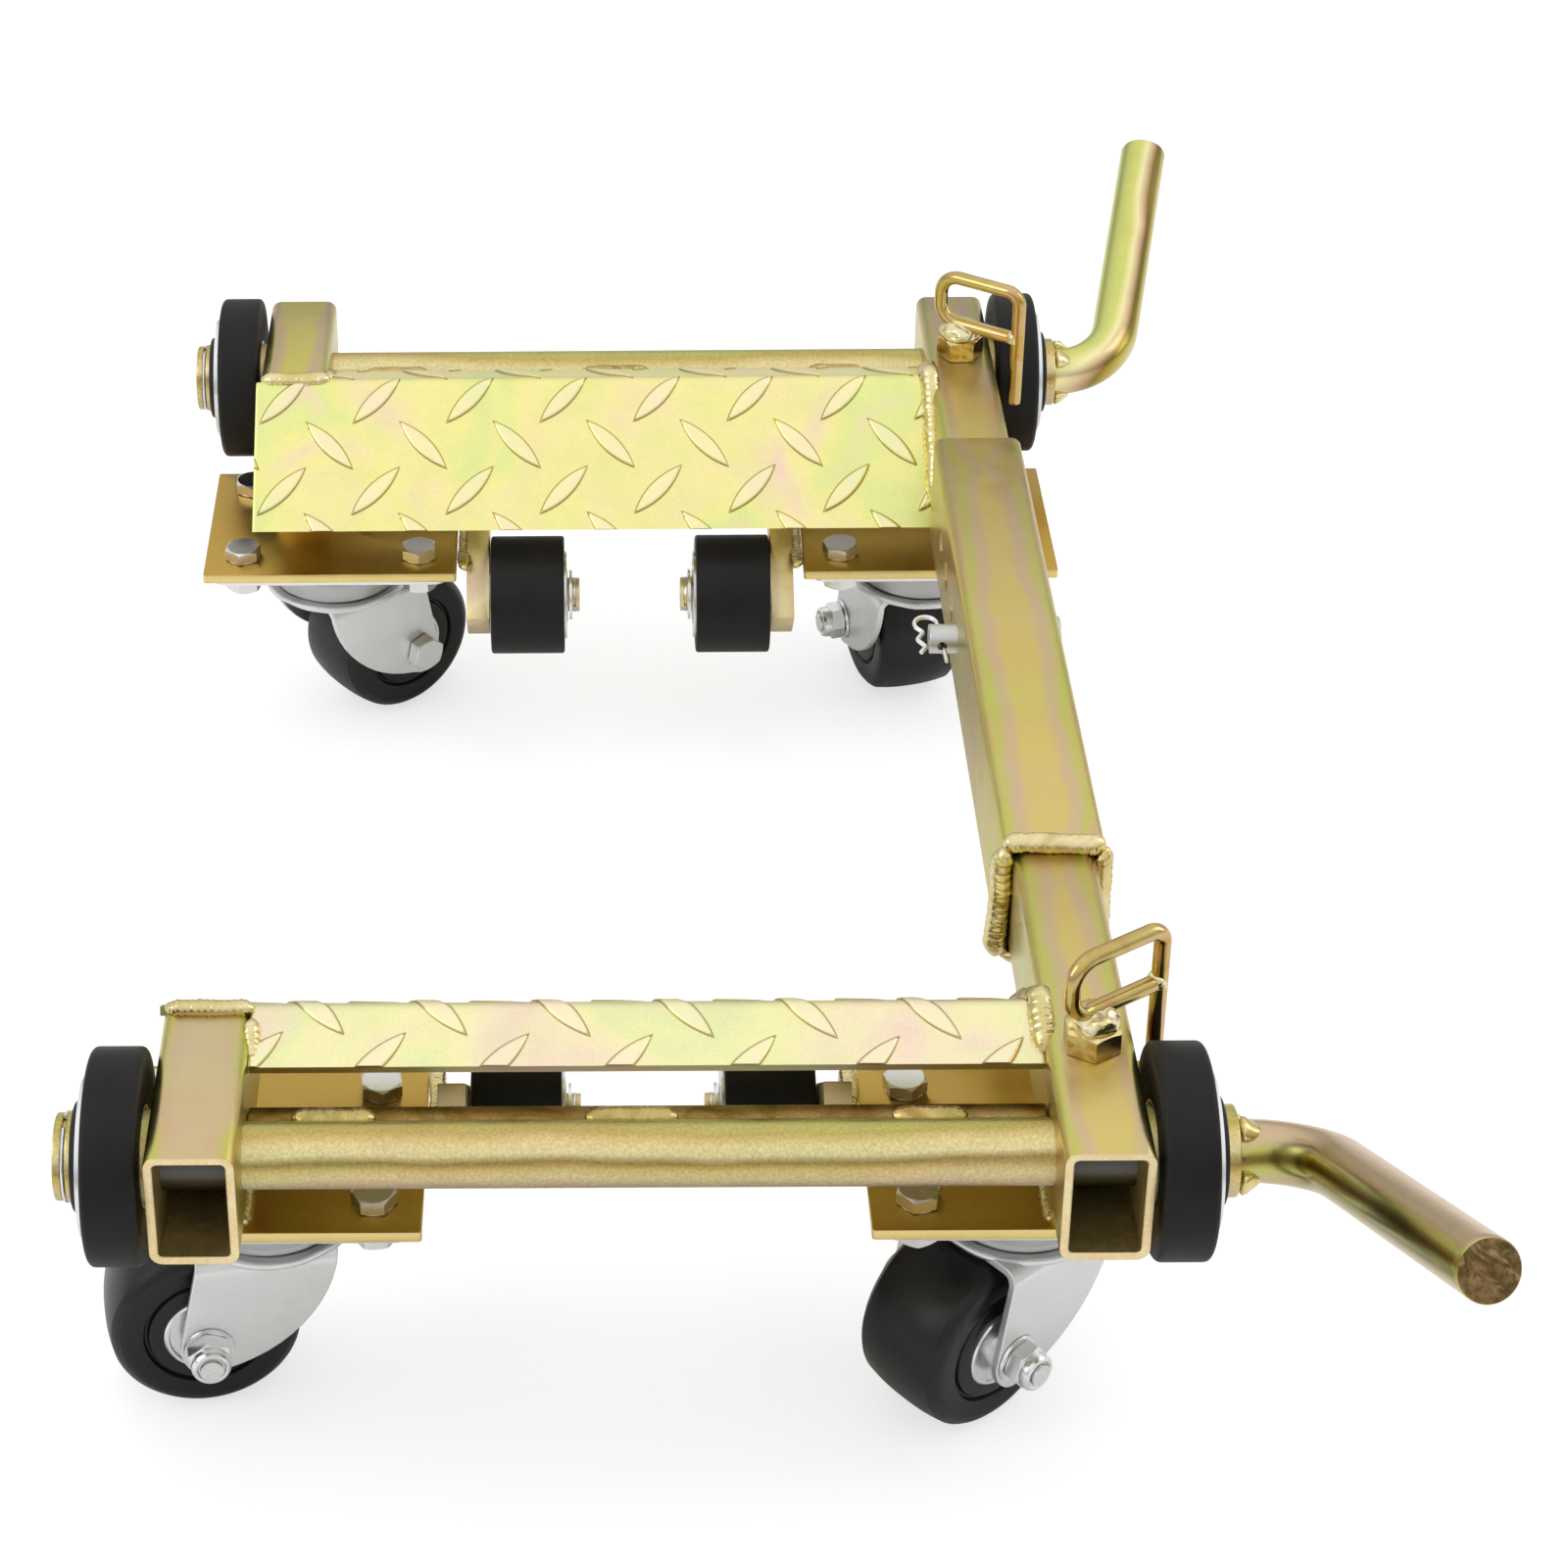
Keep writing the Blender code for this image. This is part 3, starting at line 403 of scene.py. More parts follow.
class Nodes:
    """A short way to build one material's node tree."""

    def __init__(self, name):
        self.material = bpy.data.materials.new(name)
        self.material.use_nodes = True
        self.tree = self.material.node_tree
        self.shader = self.tree.nodes["Principled BSDF"]
        self.coords = self.tree.nodes.new("ShaderNodeTexCoord").outputs["Object"]

    def node(self, kind, **settings):
        made = self.tree.nodes.new(kind)
        for key, value in settings.items():
            setattr(made, key, value)
        return made

    def link(self, a, b):
        self.tree.links.new(a, b)

    def feed(self, value, socket):
        """Links a socket to another node's output, or gives it a fixed number or colour."""
        if isinstance(value, (int, float)):
            socket.default_value = value
        elif isinstance(value, tuple):
            socket.default_value = (*value, 1)
        else:
            self.link(value, socket)

    def noise(self, scale, detail=3.0, rough=0.5, twist=0.0, stretch=None):
        made = self.node("ShaderNodeTexNoise")
        settings = {"Scale": scale, "Detail": detail, "Roughness": rough, "Distortion": twist}
        for name, value in settings.items():
            made.inputs[name].default_value = value
        source = self.coords
        if stretch:
            mapping = self.node("ShaderNodeMapping")
            mapping.inputs["Scale"].default_value = stretch
            self.link(source, mapping.inputs["Vector"])
            source = mapping.outputs["Vector"]
        self.link(source, made.inputs["Vector"])
        return made.outputs["Fac"]

    def ramp(self, factor, stops):
        """A colour ramp; each stop is a place and a colour or a grey."""
        made = self.node("ShaderNodeValToRGB")
        elements = made.color_ramp.elements
        while len(elements) < len(stops):
            elements.new(0.5)
        for element, (at, colour) in zip(elements, stops):
            element.position = at
            element.color = (*colour, 1) if isinstance(colour, tuple) else (colour, colour, colour, 1)
        self.link(factor, made.inputs["Fac"])
        return made.outputs["Color"]

    def mix(self, factor, a, b, kind="MIX"):
        made = self.node("ShaderNodeMix", data_type="RGBA", blend_type=kind)
        self.feed(factor, made.inputs[0])
        self.feed(a, made.inputs[6])
        self.feed(b, made.inputs[7])
        return made.outputs[2]

    def math(self, operation, a, b=0.0):
        made = self.node("ShaderNodeMath", operation=operation)
        self.feed(a, made.inputs[0])
        self.feed(b, made.inputs[1])
        return made.outputs["Value"]

    def spread(self, factor, low, high, start=0.0, end=1.0):
        """Maps start..end onto low..high, clamped."""
        made = self.node("ShaderNodeMapRange")
        settings = {"From Min": start, "From Max": end, "To Min": low, "To Max": high}
        for name, value in settings.items():
            made.inputs[name].default_value = value
        self.link(factor, made.inputs["Value"])
        return made.outputs["Result"]

    def bump(self, *layers):
        """Each layer is a height and a distance in metres."""
        last = None
        for height, distance in layers:
            made = self.node("ShaderNodeBump")
            made.inputs["Strength"].default_value = 1.0
            made.inputs["Distance"].default_value = distance
            self.link(height, made.inputs["Height"])
            if last:
                self.link(last, made.inputs["Normal"])
            last = made.outputs["Normal"]
        self.link(last, self.shader.inputs["Normal"])

    def across(self, direction):
        """How far the surface faces a direction, from 0 for away to 1 for towards it."""
        normal = self.node("ShaderNodeNewGeometry").outputs["Normal"]
        made = self.node("ShaderNodeVectorMath", operation="DOT_PRODUCT")
        self.link(normal, made.inputs[0])
        made.inputs[1].default_value = Vector(direction).normalized()
        return self.spread(made.outputs["Value"], 0.0, 1.0, -1.0, 1.0)

    def along_x(self):
        split = self.node("ShaderNodeSeparateXYZ")
        self.link(self.coords, split.inputs["Vector"])
        return split.outputs["X"]

    def between(self, low, high, soft=0.0005):
        """1 where x lies between two values, else 0."""
        x = self.along_x()
        rise = self.spread(x, 0, 1, low - soft, low + soft)
        return self.math("MULTIPLY", rise, self.spread(x, 1, 0, high - soft, high + soft))

    def facing(self, blend):
        made = self.node("ShaderNodeLayerWeight")
        made.inputs["Blend"].default_value = blend
        return made.outputs["Facing"]


# Painted shade: the near-black tone painted on the rod where it runs inside the tubes.
ROD_IN_TUBE_SHADE = (0.10, 0.095, 0.09)
# Paler lens tops, and a painted shade drawn as a dark line along the lenses' rims.
LENS_TONE, LENS_RIM_SHADE = (0.96, 0.84, 0.60), (0.32, 0.21, 0.03)


def zinc(name, tones, rough=(0.26, 0.42), patch=7.0, grain=1400.0, grain_depth=0.00002, metallic=1.0,
         speckle=0.12, stretch=None, pink=0.35, light_bands=None, light_share=0.75, shade_spans=(), outline=None,
         twist=1.4, stain_share=0.5, lanes=None):
    """Passivated zinc: drifting interference colours over a fine crystalline grain.

    light_bands is a direction and the colours met while turning towards it, painted highlights and painted
    shade that follow the way a face turns; lanes is a centre, a half width and the colours met from that x to
    the edges;
    shade_spans lists x ranges painted near black as painted shade; outline names a mesh attribute, the
    distance inside a raised shape, that is drawn as a darker line at nought, a painted shade along its rim.
    """
    n = Nodes(name)
    drift = n.noise(patch, 2.5, 0.55, twist, stretch)
    base = n.ramp(drift, list(zip((0.30, 0.42, 0.52, 0.62, 0.74), tones)))
    second = n.noise(patch * 2.7, 3, 0.6, 0.8, stretch)
    base = n.mix(n.spread(second, 0, 0.55, 0.45, 0.75), base, tones[3])
    if lanes:
        centre, half, stops = lanes
        away = n.math("ABSOLUTE", n.math("SUBTRACT", n.along_x(), centre))
        drift = n.spread(n.noise(8, 2.5, twist=0.6), -0.30, 0.30, 0.3, 0.7)
        shift = n.math("ADD", n.spread(away, 0, 1, 0, half), drift)
        base = n.mix(0.7, base, n.ramp(shift, stops))
    rim = n.facing(0.35)
    base = n.mix(n.spread(rim, 0, pink, 0.35, 1.0), base, tones[4])
    # Painted highlights and painted shade: colours set by the way a face turns towards a direction.
    if light_bands:
        direction, stops = light_bands
        drift = n.spread(n.noise(9, 2), -0.10, 0.10, 0.3, 0.7)
        base = n.mix(light_share, base, n.ramp(n.math("ADD", n.across(direction), drift), stops))
    fine = n.noise(grain, 2, 0.6)
    base = n.mix(speckle, base, n.ramp(fine, [(0.3, 0.25), (0.7, 1.0)]), "MULTIPLY")
    stain = n.noise(45, 5, 0.65)
    base = n.mix(stain_share, base, n.ramp(stain, [(0.25, 0.80), (0.6, 1.0)]), "MULTIPLY")
    # Painted shade: the listed x ranges are turned near black.
    for low, high in shade_spans:
        base = n.mix(n.between(low, high), base, ROD_IN_TUBE_SHADE)
    # Paler inside a raised shape, with a painted shade drawn as a darker line along its rim.
    if outline:
        inside = n.node("ShaderNodeAttribute", attribute_name=outline).outputs["Fac"]
        base = n.mix(n.spread(inside, 0, 0.45, 0.2, 1.5), base, LENS_TONE)
        apart = n.math("ABSOLUTE", inside)
        base = n.mix(n.spread(apart, 0.85, 0, 0.15, 0.65), base, LENS_RIM_SHADE)
    n.link(base, n.shader.inputs["Base Color"])
    n.shader.inputs["Metallic"].default_value = metallic
    n.link(n.spread(stain, *rough, 0.3, 0.7), n.shader.inputs["Roughness"])
    n.bump((fine, grain_depth), (n.noise(60, 2), 0.00006))
    return n.material


def silver(name, tone, rough, grain=0.00002):
    """Bright zinc: faintly clouded, with a fine grain."""
    n = Nodes(name)
    cloud = n.noise(30, 4, 0.6, 0.5)
    fine = n.noise(1100, 2, 0.6)
    base = n.mix(n.spread(cloud, 0, 1, 0.3, 0.7), tuple(c * 0.90 for c in tone), tone)
    base = n.mix(0.10, base, n.ramp(fine, [(0.3, 0.4), (0.7, 1.0)]), "MULTIPLY")
    n.link(base, n.shader.inputs["Base Color"])
    n.shader.inputs["Metallic"].default_value = 1.0
    n.link(n.spread(cloud, *rough, 0.3, 0.7), n.shader.inputs["Roughness"])
    n.bump((fine, grain), (n.noise(90, 2), 0.00005))
    return n.material


def dark(name, tone, rough, grain=900, depth=0.00003, spec=0.5):
    """Rubber or plastic: near black with faint mottling."""
    n = Nodes(name)
    cloud = n.noise(35, 4, 0.6)
    fine = n.noise(grain, 3, 0.6)
    shades = [tuple(c * share for c in tone) for share in (0.75, 1.3)]
    n.link(n.mix(n.spread(cloud, 0, 1, 0.3, 0.7), *shades), n.shader.inputs["Base Color"])
    n.link(n.spread(cloud, *rough, 0.3, 0.7), n.shader.inputs["Roughness"])
    n.shader.inputs["Specular IOR Level"].default_value = spec
    n.bump((fine, depth))
    return n.material


PINK, GOLD, AMBER = (0.66, 0.47, 0.33), (0.70, 0.52, 0.20), (0.56, 0.36, 0.08)
GREEN, PALE, BROWN = (0.58, 0.58, 0.18), (0.86, 0.74, 0.44), (0.22, 0.13, 0.02)
SAWN, ROSE, PLATE_LIT_SIDE = (0.98, 0.80, 0.50), (0.78, 0.56, 0.42), (0.88, 0.70, 0.30)
TUBE_ROSE, TUBE_LIME = (0.65, 0.47, 0.33), (0.53, 0.58, 0.12)
TUBE_TONES = [TUBE_ROSE, (0.66, 0.51, 0.20), (0.60, 0.43, 0.13), TUBE_LIME, (0.62, 0.48, 0.27)]


def tube_look(name, x, middle):
    """Tube plating: the colours follow the edges, from a middle tone through rose and lime to gold."""
    stops = [(0.0, middle), (0.22, middle), (0.45, TUBE_ROSE), (0.62, (0.62, 0.51, 0.25)),
             (0.76, TUBE_LIME), (0.92, (0.64, 0.50, 0.19)), (1.0, (0.60, 0.45, 0.22))]
    return zinc(name, TUBE_TONES, patch=6, twist=0.7, stain_share=0.25,
                lanes=(LEFT + x, TUBE_W / 2 + 0.002, stops))


M_TUBE = tube_look("yellow_zinc_tube", ARM_W - TUBE_W / 2, (0.72, 0.56, 0.18))
M_STUB = {"near": tube_look("yellow_zinc_stub", TUBE_W / 2, (0.66, 0.50, 0.34)),
          "far": tube_look("yellow_zinc_stub_far", TUBE_W / 2, (0.72, 0.68, 0.11))}
# Painted light: the tubes' insides are painted paler than the outsides to stand in for the light that reaches
# them.
INSIDE_LIT_TONES = [(0.80, 0.60, 0.26), (0.62, 0.52, 0.20)] * 2 + [(0.74, 0.56, 0.24)]
M_TUBE_INSIDE_LIT = zinc("yellow_zinc_inside_lit", INSIDE_LIT_TONES, (0.45, 0.6), patch=30, speckle=0.45)
SAWN_TONES = [SAWN, (0.96, 0.74, 0.40), SAWN, (0.94, 0.84, 0.46), SAWN]
M_SAWN = zinc("yellow_zinc_sawn", SAWN_TONES, (0.45, 0.6), patch=40, grain=700, grain_depth=0.00004,
              speckle=0.2, metallic=0.8)

IN_TUBES = [(LEFT + x + 0.0005, LEFT + x + TUBE_W - 0.0005) for x in (0, ARM_W - TUBE_W)]
# Painted highlight and painted shade on the rod: pale bands and a dark band by the way its surface turns, and
# near black inside the tubes.
ROD_LIGHT_STOPS = [(0.0, PINK), (0.20, (0.76, 0.64, 0.38)), (0.36, GOLD), (0.46, (0.40, 0.26, 0.07)),
             (0.58, (0.95, 0.84, 0.48)), (0.72, (0.90, 0.74, 0.38)), (0.88, (0.58, 0.42, 0.12)), (1.0, GREEN)]
M_ROD = zinc("yellow_zinc_rod", [PINK, GOLD, GREEN, GOLD, PINK], (0.30, 0.42), grain=650,
             grain_depth=0.00010, speckle=0.35, stretch=(0.25, 1, 1), light_bands=((0, 0.49, 0.87), ROD_LIGHT_STOPS),
             light_share=0.7, shade_spans=IN_TUBES)
# Painted highlights, painted reflections and painted shade on the handles, by the way the bar's surface
# turns.
NEAR_HANDLE_LIGHT = [(0.0, (0.72, 0.58, 0.40)), (0.14, (0.66, 0.56, 0.30)), (0.28, (0.50, 0.50, 0.12)),
              (0.38, BROWN), (0.47, (0.26, 0.19, 0.03)), (0.56, (0.55, 0.53, 0.14)),
              (0.68, (0.62, 0.46, 0.30)), (1.0, PINK)]
FAR_HANDLE_LIGHT = [(0.0, (0.66, 0.58, 0.22)), (0.14, (0.44, 0.34, 0.05)), (0.24, BROWN), (0.36, (0.70, 0.48, 0.30)),
             (0.48, (0.97, 0.88, 0.48)), (0.62, (0.68, 0.70, 0.20)), (1.0, (0.56, 0.62, 0.18))]
HANDLE_LIGHT_BANDS = {"near": ((0.37, 0.46, 0.81), NEAR_HANDLE_LIGHT), "far": ((-0.965, 0.128, 0.227), FAR_HANDLE_LIGHT)}
END_TONES = {"near": [(0.22, 0.13, 0.05), (0.34, 0.21, 0.09), (0.16, 0.10, 0.03), (0.46, 0.32, 0.16),
                      (0.25, 0.15, 0.06)],
             "far": [GREEN, (0.78, 0.74, 0.34), GOLD, GREEN, PALE]}
RAMP_TONES = {"near": [(0.96, 0.75, 0.60), (0.97, 0.87, 0.54), (0.96, 0.91, 0.48), (0.85, 0.89, 0.46),
                       (0.96, 0.75, 0.60)],
              "far": [(0.96, 0.73, 0.54), (0.97, 0.85, 0.42), (0.95, 0.89, 0.34), (0.82, 0.87, 0.34),
                      (0.96, 0.73, 0.54)]}
M_HANDLE, M_HANDLE_END, M_RAMP = {}, {}, {}
for arm in SIDES:
    M_HANDLE[arm] = zinc(f"yellow_zinc_handle_{arm}", [PINK, GREEN, GOLD, GREEN, PINK], (0.20, 0.28), patch=5,
                         pink=0.2, speckle=0.10, light_bands=HANDLE_LIGHT_BANDS[arm], light_share=0.85)
    M_HANDLE_END[arm] = zinc(f"yellow_zinc_handle_end_{arm}", END_TONES[arm], (0.30, 0.45), patch=60,
                             grain=260, grain_depth=0.00025, speckle=0.7, stretch=(1, 3, 0.4))
    M_RAMP[arm] = zinc(f"yellow_zinc_ramp_{arm}", RAMP_TONES[arm], (0.30, 0.42), patch=11, grain=1600,
                       grain_depth=0.00004, speckle=0.2, pink=0.15, outline="lens_inside", twist=0.9,
                       stain_share=0.35)

WIRE_TONES = [(0.54, 0.34, 0.14), (0.58, 0.48, 0.16), (0.66, 0.44, 0.24), AMBER, ROSE]
M_WIRE = zinc("yellow_zinc_wire", WIRE_TONES, (0.15, 0.24), patch=16, pink=0.3)
M_NUT = zinc("yellow_zinc_nut", [GOLD, AMBER, PALE, GOLD, AMBER], (0.18, 0.28), patch=40, pink=0.3)
# Painted shade and painted light on the caster plates: their tops a darker amber, their upright sides paler,
# by the way a face turns.
PLATE_SHADE_STOPS = [(0.0, AMBER), (0.24, AMBER), (0.36, PLATE_LIT_SIDE), (0.64, PLATE_LIT_SIDE), (0.76, AMBER), (1.0, AMBER)]
M_PLATE = zinc("yellow_zinc_plate", [AMBER, AMBER, (0.52, 0.40, 0.07), AMBER, GOLD], (0.28, 0.40),
               light_bands=((0, 0, 1), PLATE_SHADE_STOPS), light_share=0.85, pink=0.1)
# Painted shade: the stiffener bars, under the ramps, are painted dark brown.
BAR_SHADE_TONES = [(0.28, 0.16, 0.04), (0.38, 0.24, 0.07), (0.25, 0.15, 0.03), (0.46, 0.32, 0.12),
             (0.36, 0.22, 0.05)]
M_BAR_SHADED = zinc("yellow_zinc_bar_shaded", BAR_SHADE_TONES, (0.30, 0.42), patch=18, grain=700, grain_depth=0.00006,
             speckle=0.5)
WELD_TONES = [GOLD, (0.78, 0.66, 0.30), PALE, (0.70, 0.60, 0.26), PINK]
M_WELD = zinc("yellow_zinc_weld", WELD_TONES, (0.20, 0.32), patch=25)
STITCH_TONES = [(0.46, 0.30, 0.09), GOLD, (0.60, 0.46, 0.18), (0.44, 0.36, 0.10), PINK]
M_STITCH = zinc("yellow_zinc_stitch", STITCH_TONES, (0.22, 0.34), patch=30, speckle=0.3)
SPLATTER_TONES = [(0.88, 0.72, 0.38), (0.86, 0.78, 0.54), PALE, (0.80, 0.76, 0.40), GOLD]
M_SPLATTER = zinc("yellow_zinc_splatter", SPLATTER_TONES, (0.18, 0.30), patch=60)
M_CUT = zinc("yellow_zinc_cut", [GOLD, PALE, GOLD, PALE, PINK], (0.34, 0.5), grain=700, grain_depth=0.00005)
M_SILVER = silver("silver_zinc", (0.86, 0.87, 0.87), (0.20, 0.32))
M_PRESSED = silver("silver_zinc_pressed", (0.82, 0.83, 0.83), (0.34, 0.50), 0.00003)
M_BOLT = silver("silver_zinc_bolt", (0.80, 0.80, 0.78), (0.24, 0.38), 0.00004)
M_PIN = silver("silver_zinc_pin", (0.60, 0.60, 0.58), (0.22, 0.36), 0.00004)
M_RACE = silver("silver_zinc_race", (0.56, 0.56, 0.56), (0.40, 0.55), 0.00004)
M_RUBBER = dark("rubber", (0.0088, 0.0082, 0.0078), (0.44, 0.58), spec=0.2)
M_NYLON = dark("black_nylon", (0.006, 0.006, 0.006), (0.30, 0.40), grain=420, depth=0.00005, spec=0.35)
M_RING = dark("black_ring", (0.012, 0.012, 0.012), (0.40, 0.50), spec=0.3)


# Tubes ---------------------------------------------------------------------------------------------


def rounded_rect(centre_x, top, width, height, inset, corner, y):
    w, h = width / 2 - inset, height / 2 - inset
    z = top - height / 2
    outline = fillet([(-w, -h), (w, -h), (w, h), (-w, h)], max(0.0004, corner), 7)
    return [Vector((centre_x + p.x, y, z + p.y)) for p in outline]


def tube_mesh(centre_x, top, width, height, y_from, y_to, corner=0.006, soft=0.0006):
    """A rectangular tube with rounded corners and softened rims."""
    low, high = sorted((y_from, y_to))
    inner = corner - WALL * 0.9
    plan = [
        (0.0, corner, low + soft), (soft * 0.3, corner, low + soft * 0.3), (soft, corner - soft, low),
        (WALL - soft, inner + soft, low), (WALL, inner, low + soft), (WALL, inner, high - soft),
        (WALL - soft, inner + soft, high), (soft, corner - soft, high),
        (soft * 0.3, corner, high - soft * 0.3), (0.0, corner, high - soft),
    ]       # inset, corner radius, y
    return bridge([rounded_rect(centre_x, top, width, height, *step) for step in plan], loop=True)


def ramp_inboard(drop):
    return CREST[0] + (CREST[1] + drop) / math.tan(SLOPE)


HANDLE_TIP = {"near": (0.111, -0.123, 0.044), "far": (0.114, -0.123, 0.038)}
# Tack welds at the foot of a handle: turn from the outer side (up is 90) and size.
TACKS = {"near": ((78, 1.2), (-28, 1.3), (-100, 1.0), (170, 1.0)), "far": ((150, 1.8), (60, 1.1), (-60, 1.1))}
HANDLE_R, HANDLE_BEND, HANDLE_CORNER = 0.014, 0.0412, 0.076     # the corner is measured from the arm's side
CROSS_X = (CROSS_LOW.x + CROSS_HIGH.x) / 2
ROD_Z, ROD_HOLE_R = TOP + ROD_H, 0.0153


def finish_tube(tube, low, high):
    """Gives a tube's inside a duller finish in a pale tone that is painted light, and its sawn ends a paler
    one.
    """
    tube.data.materials.append(M_TUBE_INSIDE_LIT)
    tube.data.materials.append(M_SAWN)
    margin = WALL * 0.6
    for face in tube.data.polygons:
        c = face.center
        deep = low.x + margin < c.x < high.x - margin and low.z + margin < c.z < high.z - margin
        if abs(face.normal.y) > 0.7:
            face.material_index = 2
        elif deep:
            face.material_index = 1


def rod_hole_cut(mesh, arm, x):
    y = spot(arm, 0, ROD_IN, 0).y
    hole = cylinder((x - 0.03, y, ROD_Z), (x + 0.03, y, ROD_Z), ROD_HOLE_R)
    return boolean(mesh, hole, "DIFFERENCE")


for arm in SIDES:
    end = spot(arm, 0, 0, 0).y
    body = f"{arm}_arm"
    x = LEFT + TUBE_W / 2
    tube = tube_mesh(x, TOP, TUBE_W, TUBE_H, end, spot(arm, 0, ramp_inboard(TUBE_H) - 0.001, 0).y)
    clear = 0.0056 / math.sin(SLOPE)
    mitre = [(ramp_inboard(-0.02) - clear, 0.02), (ramp_inboard(0.08) - clear, -0.08), (0.30, -0.08),
             (0.30, 0.02)]
    wedge = prism(mitre, -0.01, TUBE_W + 0.01, arm_frame(arm), 0)
    tube = rod_hole_cut(boolean(tube, wedge, "DIFFERENCE"), arm, x)
    made = piece(f"{arm}_stub", tube, body, M_STUB[arm], f"{arm}_stub_tube")
    finish_tube(made, *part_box(f"{arm}_stub_tube"))
    low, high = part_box(f"{arm}_cross_tube")
    tube = rod_hole_cut(tube_mesh(CROSS_X, TOP, TUBE_W, TUBE_H, low.y, high.y), arm, CROSS_X)
    made = piece(f"{arm}_crossbar", tube, body, M_TUBE, f"{arm}_cross_tube")
    finish_tube(made, low, high)

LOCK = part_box("lock_pin")
LOCK_Z = TOP - TUBE_H / 2
LOCK_Y = (LOCK[0].y + LOCK[1].y) / 2
LOCK_PITCH, LOCK_HOLE_R = 0.032, 0.0085
SLEEVE_W, SLEEVE_H = 0.050, 0.070
sleeve = tube_mesh(CROSS_X, SLEEVE_HIGH.z, SLEEVE_W, SLEEVE_H, SLEEVE_LOW.y, SLEEVE_HIGH.y)
for k in range(4):
    y = LOCK_Y + k * LOCK_PITCH
    hole = cylinder((CROSS_X - 0.04, y, LOCK_Z), (CROSS_X + 0.04, y, LOCK_Z), LOCK_HOLE_R)
    sleeve = boolean(sleeve, hole, "DIFFERENCE")
sleeve = piece("crossbar_sleeve", sleeve, "near_arm", M_TUBE, "sleeve")
finish_tube(sleeve, SLEEVE_LOW, SLEEVE_HIGH)


# Rods, stiffener bars and handles ------------------------------------------------------------------


def soft_profile(points, radius, steps=3):
    """A lathe profile with rounded corners; its two ends stay as they are."""
    radii = [0, *[radius] * (len(points) - 2), 0]
    return [(p.x, p.y) for p in fillet(points, radii, steps, closed=False)]


for arm in SIDES:
    body = f"{arm}_arm"
    origin = spot(arm, 0, ROD_IN, ROD_H)
    w = ARM_W
    end = ROD_FROM
    outline = [
        (end, 0), (end, 0.0195), (end + 0.0038, 0.0195), (end + 0.0038, 0.0180), (end + 0.0056, 0.0180),
        (end + 0.0056, 0.0205), (-GAP, 0.0205), (-GAP, 0.015), (w + GAP, 0.015), (w + GAP, 0.0205),
        (ROD_TO, 0.0205), (ROD_TO, 0),
    ]
    rod = lathe(soft_profile(outline, 0.0008), origin, (1, 0, 0), 128)
    piece(f"{arm}_rod", rod, body, M_ROD, f"{arm}_axle_rod")
    # The stiffener bar's dark brown colour is painted shade from the ramp above it.
    low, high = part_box(f"{arm}_stiffener_bar")
    piece(f"{arm}_stiffener", block(low, high, 0.0012), body, M_BAR_SHADED, f"{arm}_stiffener_bar")
    start = spot(arm, ROD_TO - 0.0005, ROD_IN, ROD_H)
    corner = spot(arm, w + HANDLE_CORNER, ROD_IN, ROD_H)
    tip = spot(arm, w + HANDLE_TIP[arm][0], HANDLE_TIP[arm][1], HANDLE_TIP[arm][2])
    path = resample(rounded_path([start, corner, tip], [HANDLE_BEND], 20), 0.005)
    bar = sweep(path, HANDLE_R, 64, dome=0.0006)
    made = piece(f"{arm}_handle_bar", bar, body, M_HANDLE[arm], f"{arm}_handle")
    made.data.materials.append(M_HANDLE_END[arm])
    beyond = path[-1] - path[-2]
    for face in made.data.polygons:
        if face.normal.dot(beyond) > 0.97 * beyond.length:
            face.material_index = 1
    tacks = []
    for k, (turn, size) in enumerate(TACKS[arm]):
        a = math.radians(turn)
        out = Vector((0, -math.cos(a), math.sin(a)))
        foot = start + out * 0.0165 + Vector((0.0005, 0, 0))
        run = Vector((0.0065 + 0.0030 * size, 0, 0)) - out * 0.0030
        tacks.append(tack(foot, run, out, 11 * k + SIDES[arm] + 2, size))
    piece(f"{arm}_handle_tacks", joined(*tacks), body, M_WELD, angle=60)


# Ramps ---------------------------------------------------------------------------------------------


LENS_RISE, LENS_HALF_LENGTH, LENS_HALF_WIDTH = 0.0012, 0.0205, 0.0049
OUTSIDE = -3.0      # stands for well away from any lens, in mm


def lens_at(x, s, cells):
    """The raised pattern at (x, distance down the slope): its height, and how far in its outline, in mm."""
    best, inside = 0.0, OUTSIDE
    for cx, cs, lean in cells:
        dx, ds = x - cx, s - cs
        if dx * dx + ds * ds > 0.00050:
            continue
        along = dx * math.cos(lean) + ds * math.sin(lean)
        across = abs(-dx * math.sin(lean) + ds * math.cos(lean))
        edge = LENS_HALF_WIDTH * (1 - (along / LENS_HALF_LENGTH) ** 2) - across
        inside = max(inside, edge * 1000)
        if edge > -0.0002:
            t = min(1.0, (edge + 0.0002) / 0.0011)
            best = max(best, LENS_RISE * t * t * (3 - 2 * t))
    return best, inside


def ramp_path(thickness_side):
    """The side view's outer or inner line, as (inboard, height) points; ramp_mesh resamples the outer one to
    about 0.8 mm.
    """
    crest = Vector((*CREST, 0))
    down = Vector((math.cos(SLOPE), -math.sin(SLOPE), 0))
    out = Vector((-math.cos(STRIP), -math.sin(STRIP), 0))
    bottom = Vector((ramp_inboard(0.0597), -0.0597, 0))
    top_line = fillet([crest + out * 0.034, crest, bottom], [0, 0.009, 0], 9, closed=False)
    if thickness_side == "outer":
        return top_line
    half = down.angle(out) / 2
    crest_in = crest + (down + out).normalized() * RAMP_T / math.sin(half)
    bottom_in = Vector((bottom.x - RAMP_T / math.sin(SLOPE), bottom.y, 0))
    strip_in = top_line[0] + Vector((math.sin(STRIP), -math.cos(STRIP), 0)) * RAMP_T
    return fillet([strip_in, crest_in, bottom_in], [0, 0.004, 0], 6, closed=False)


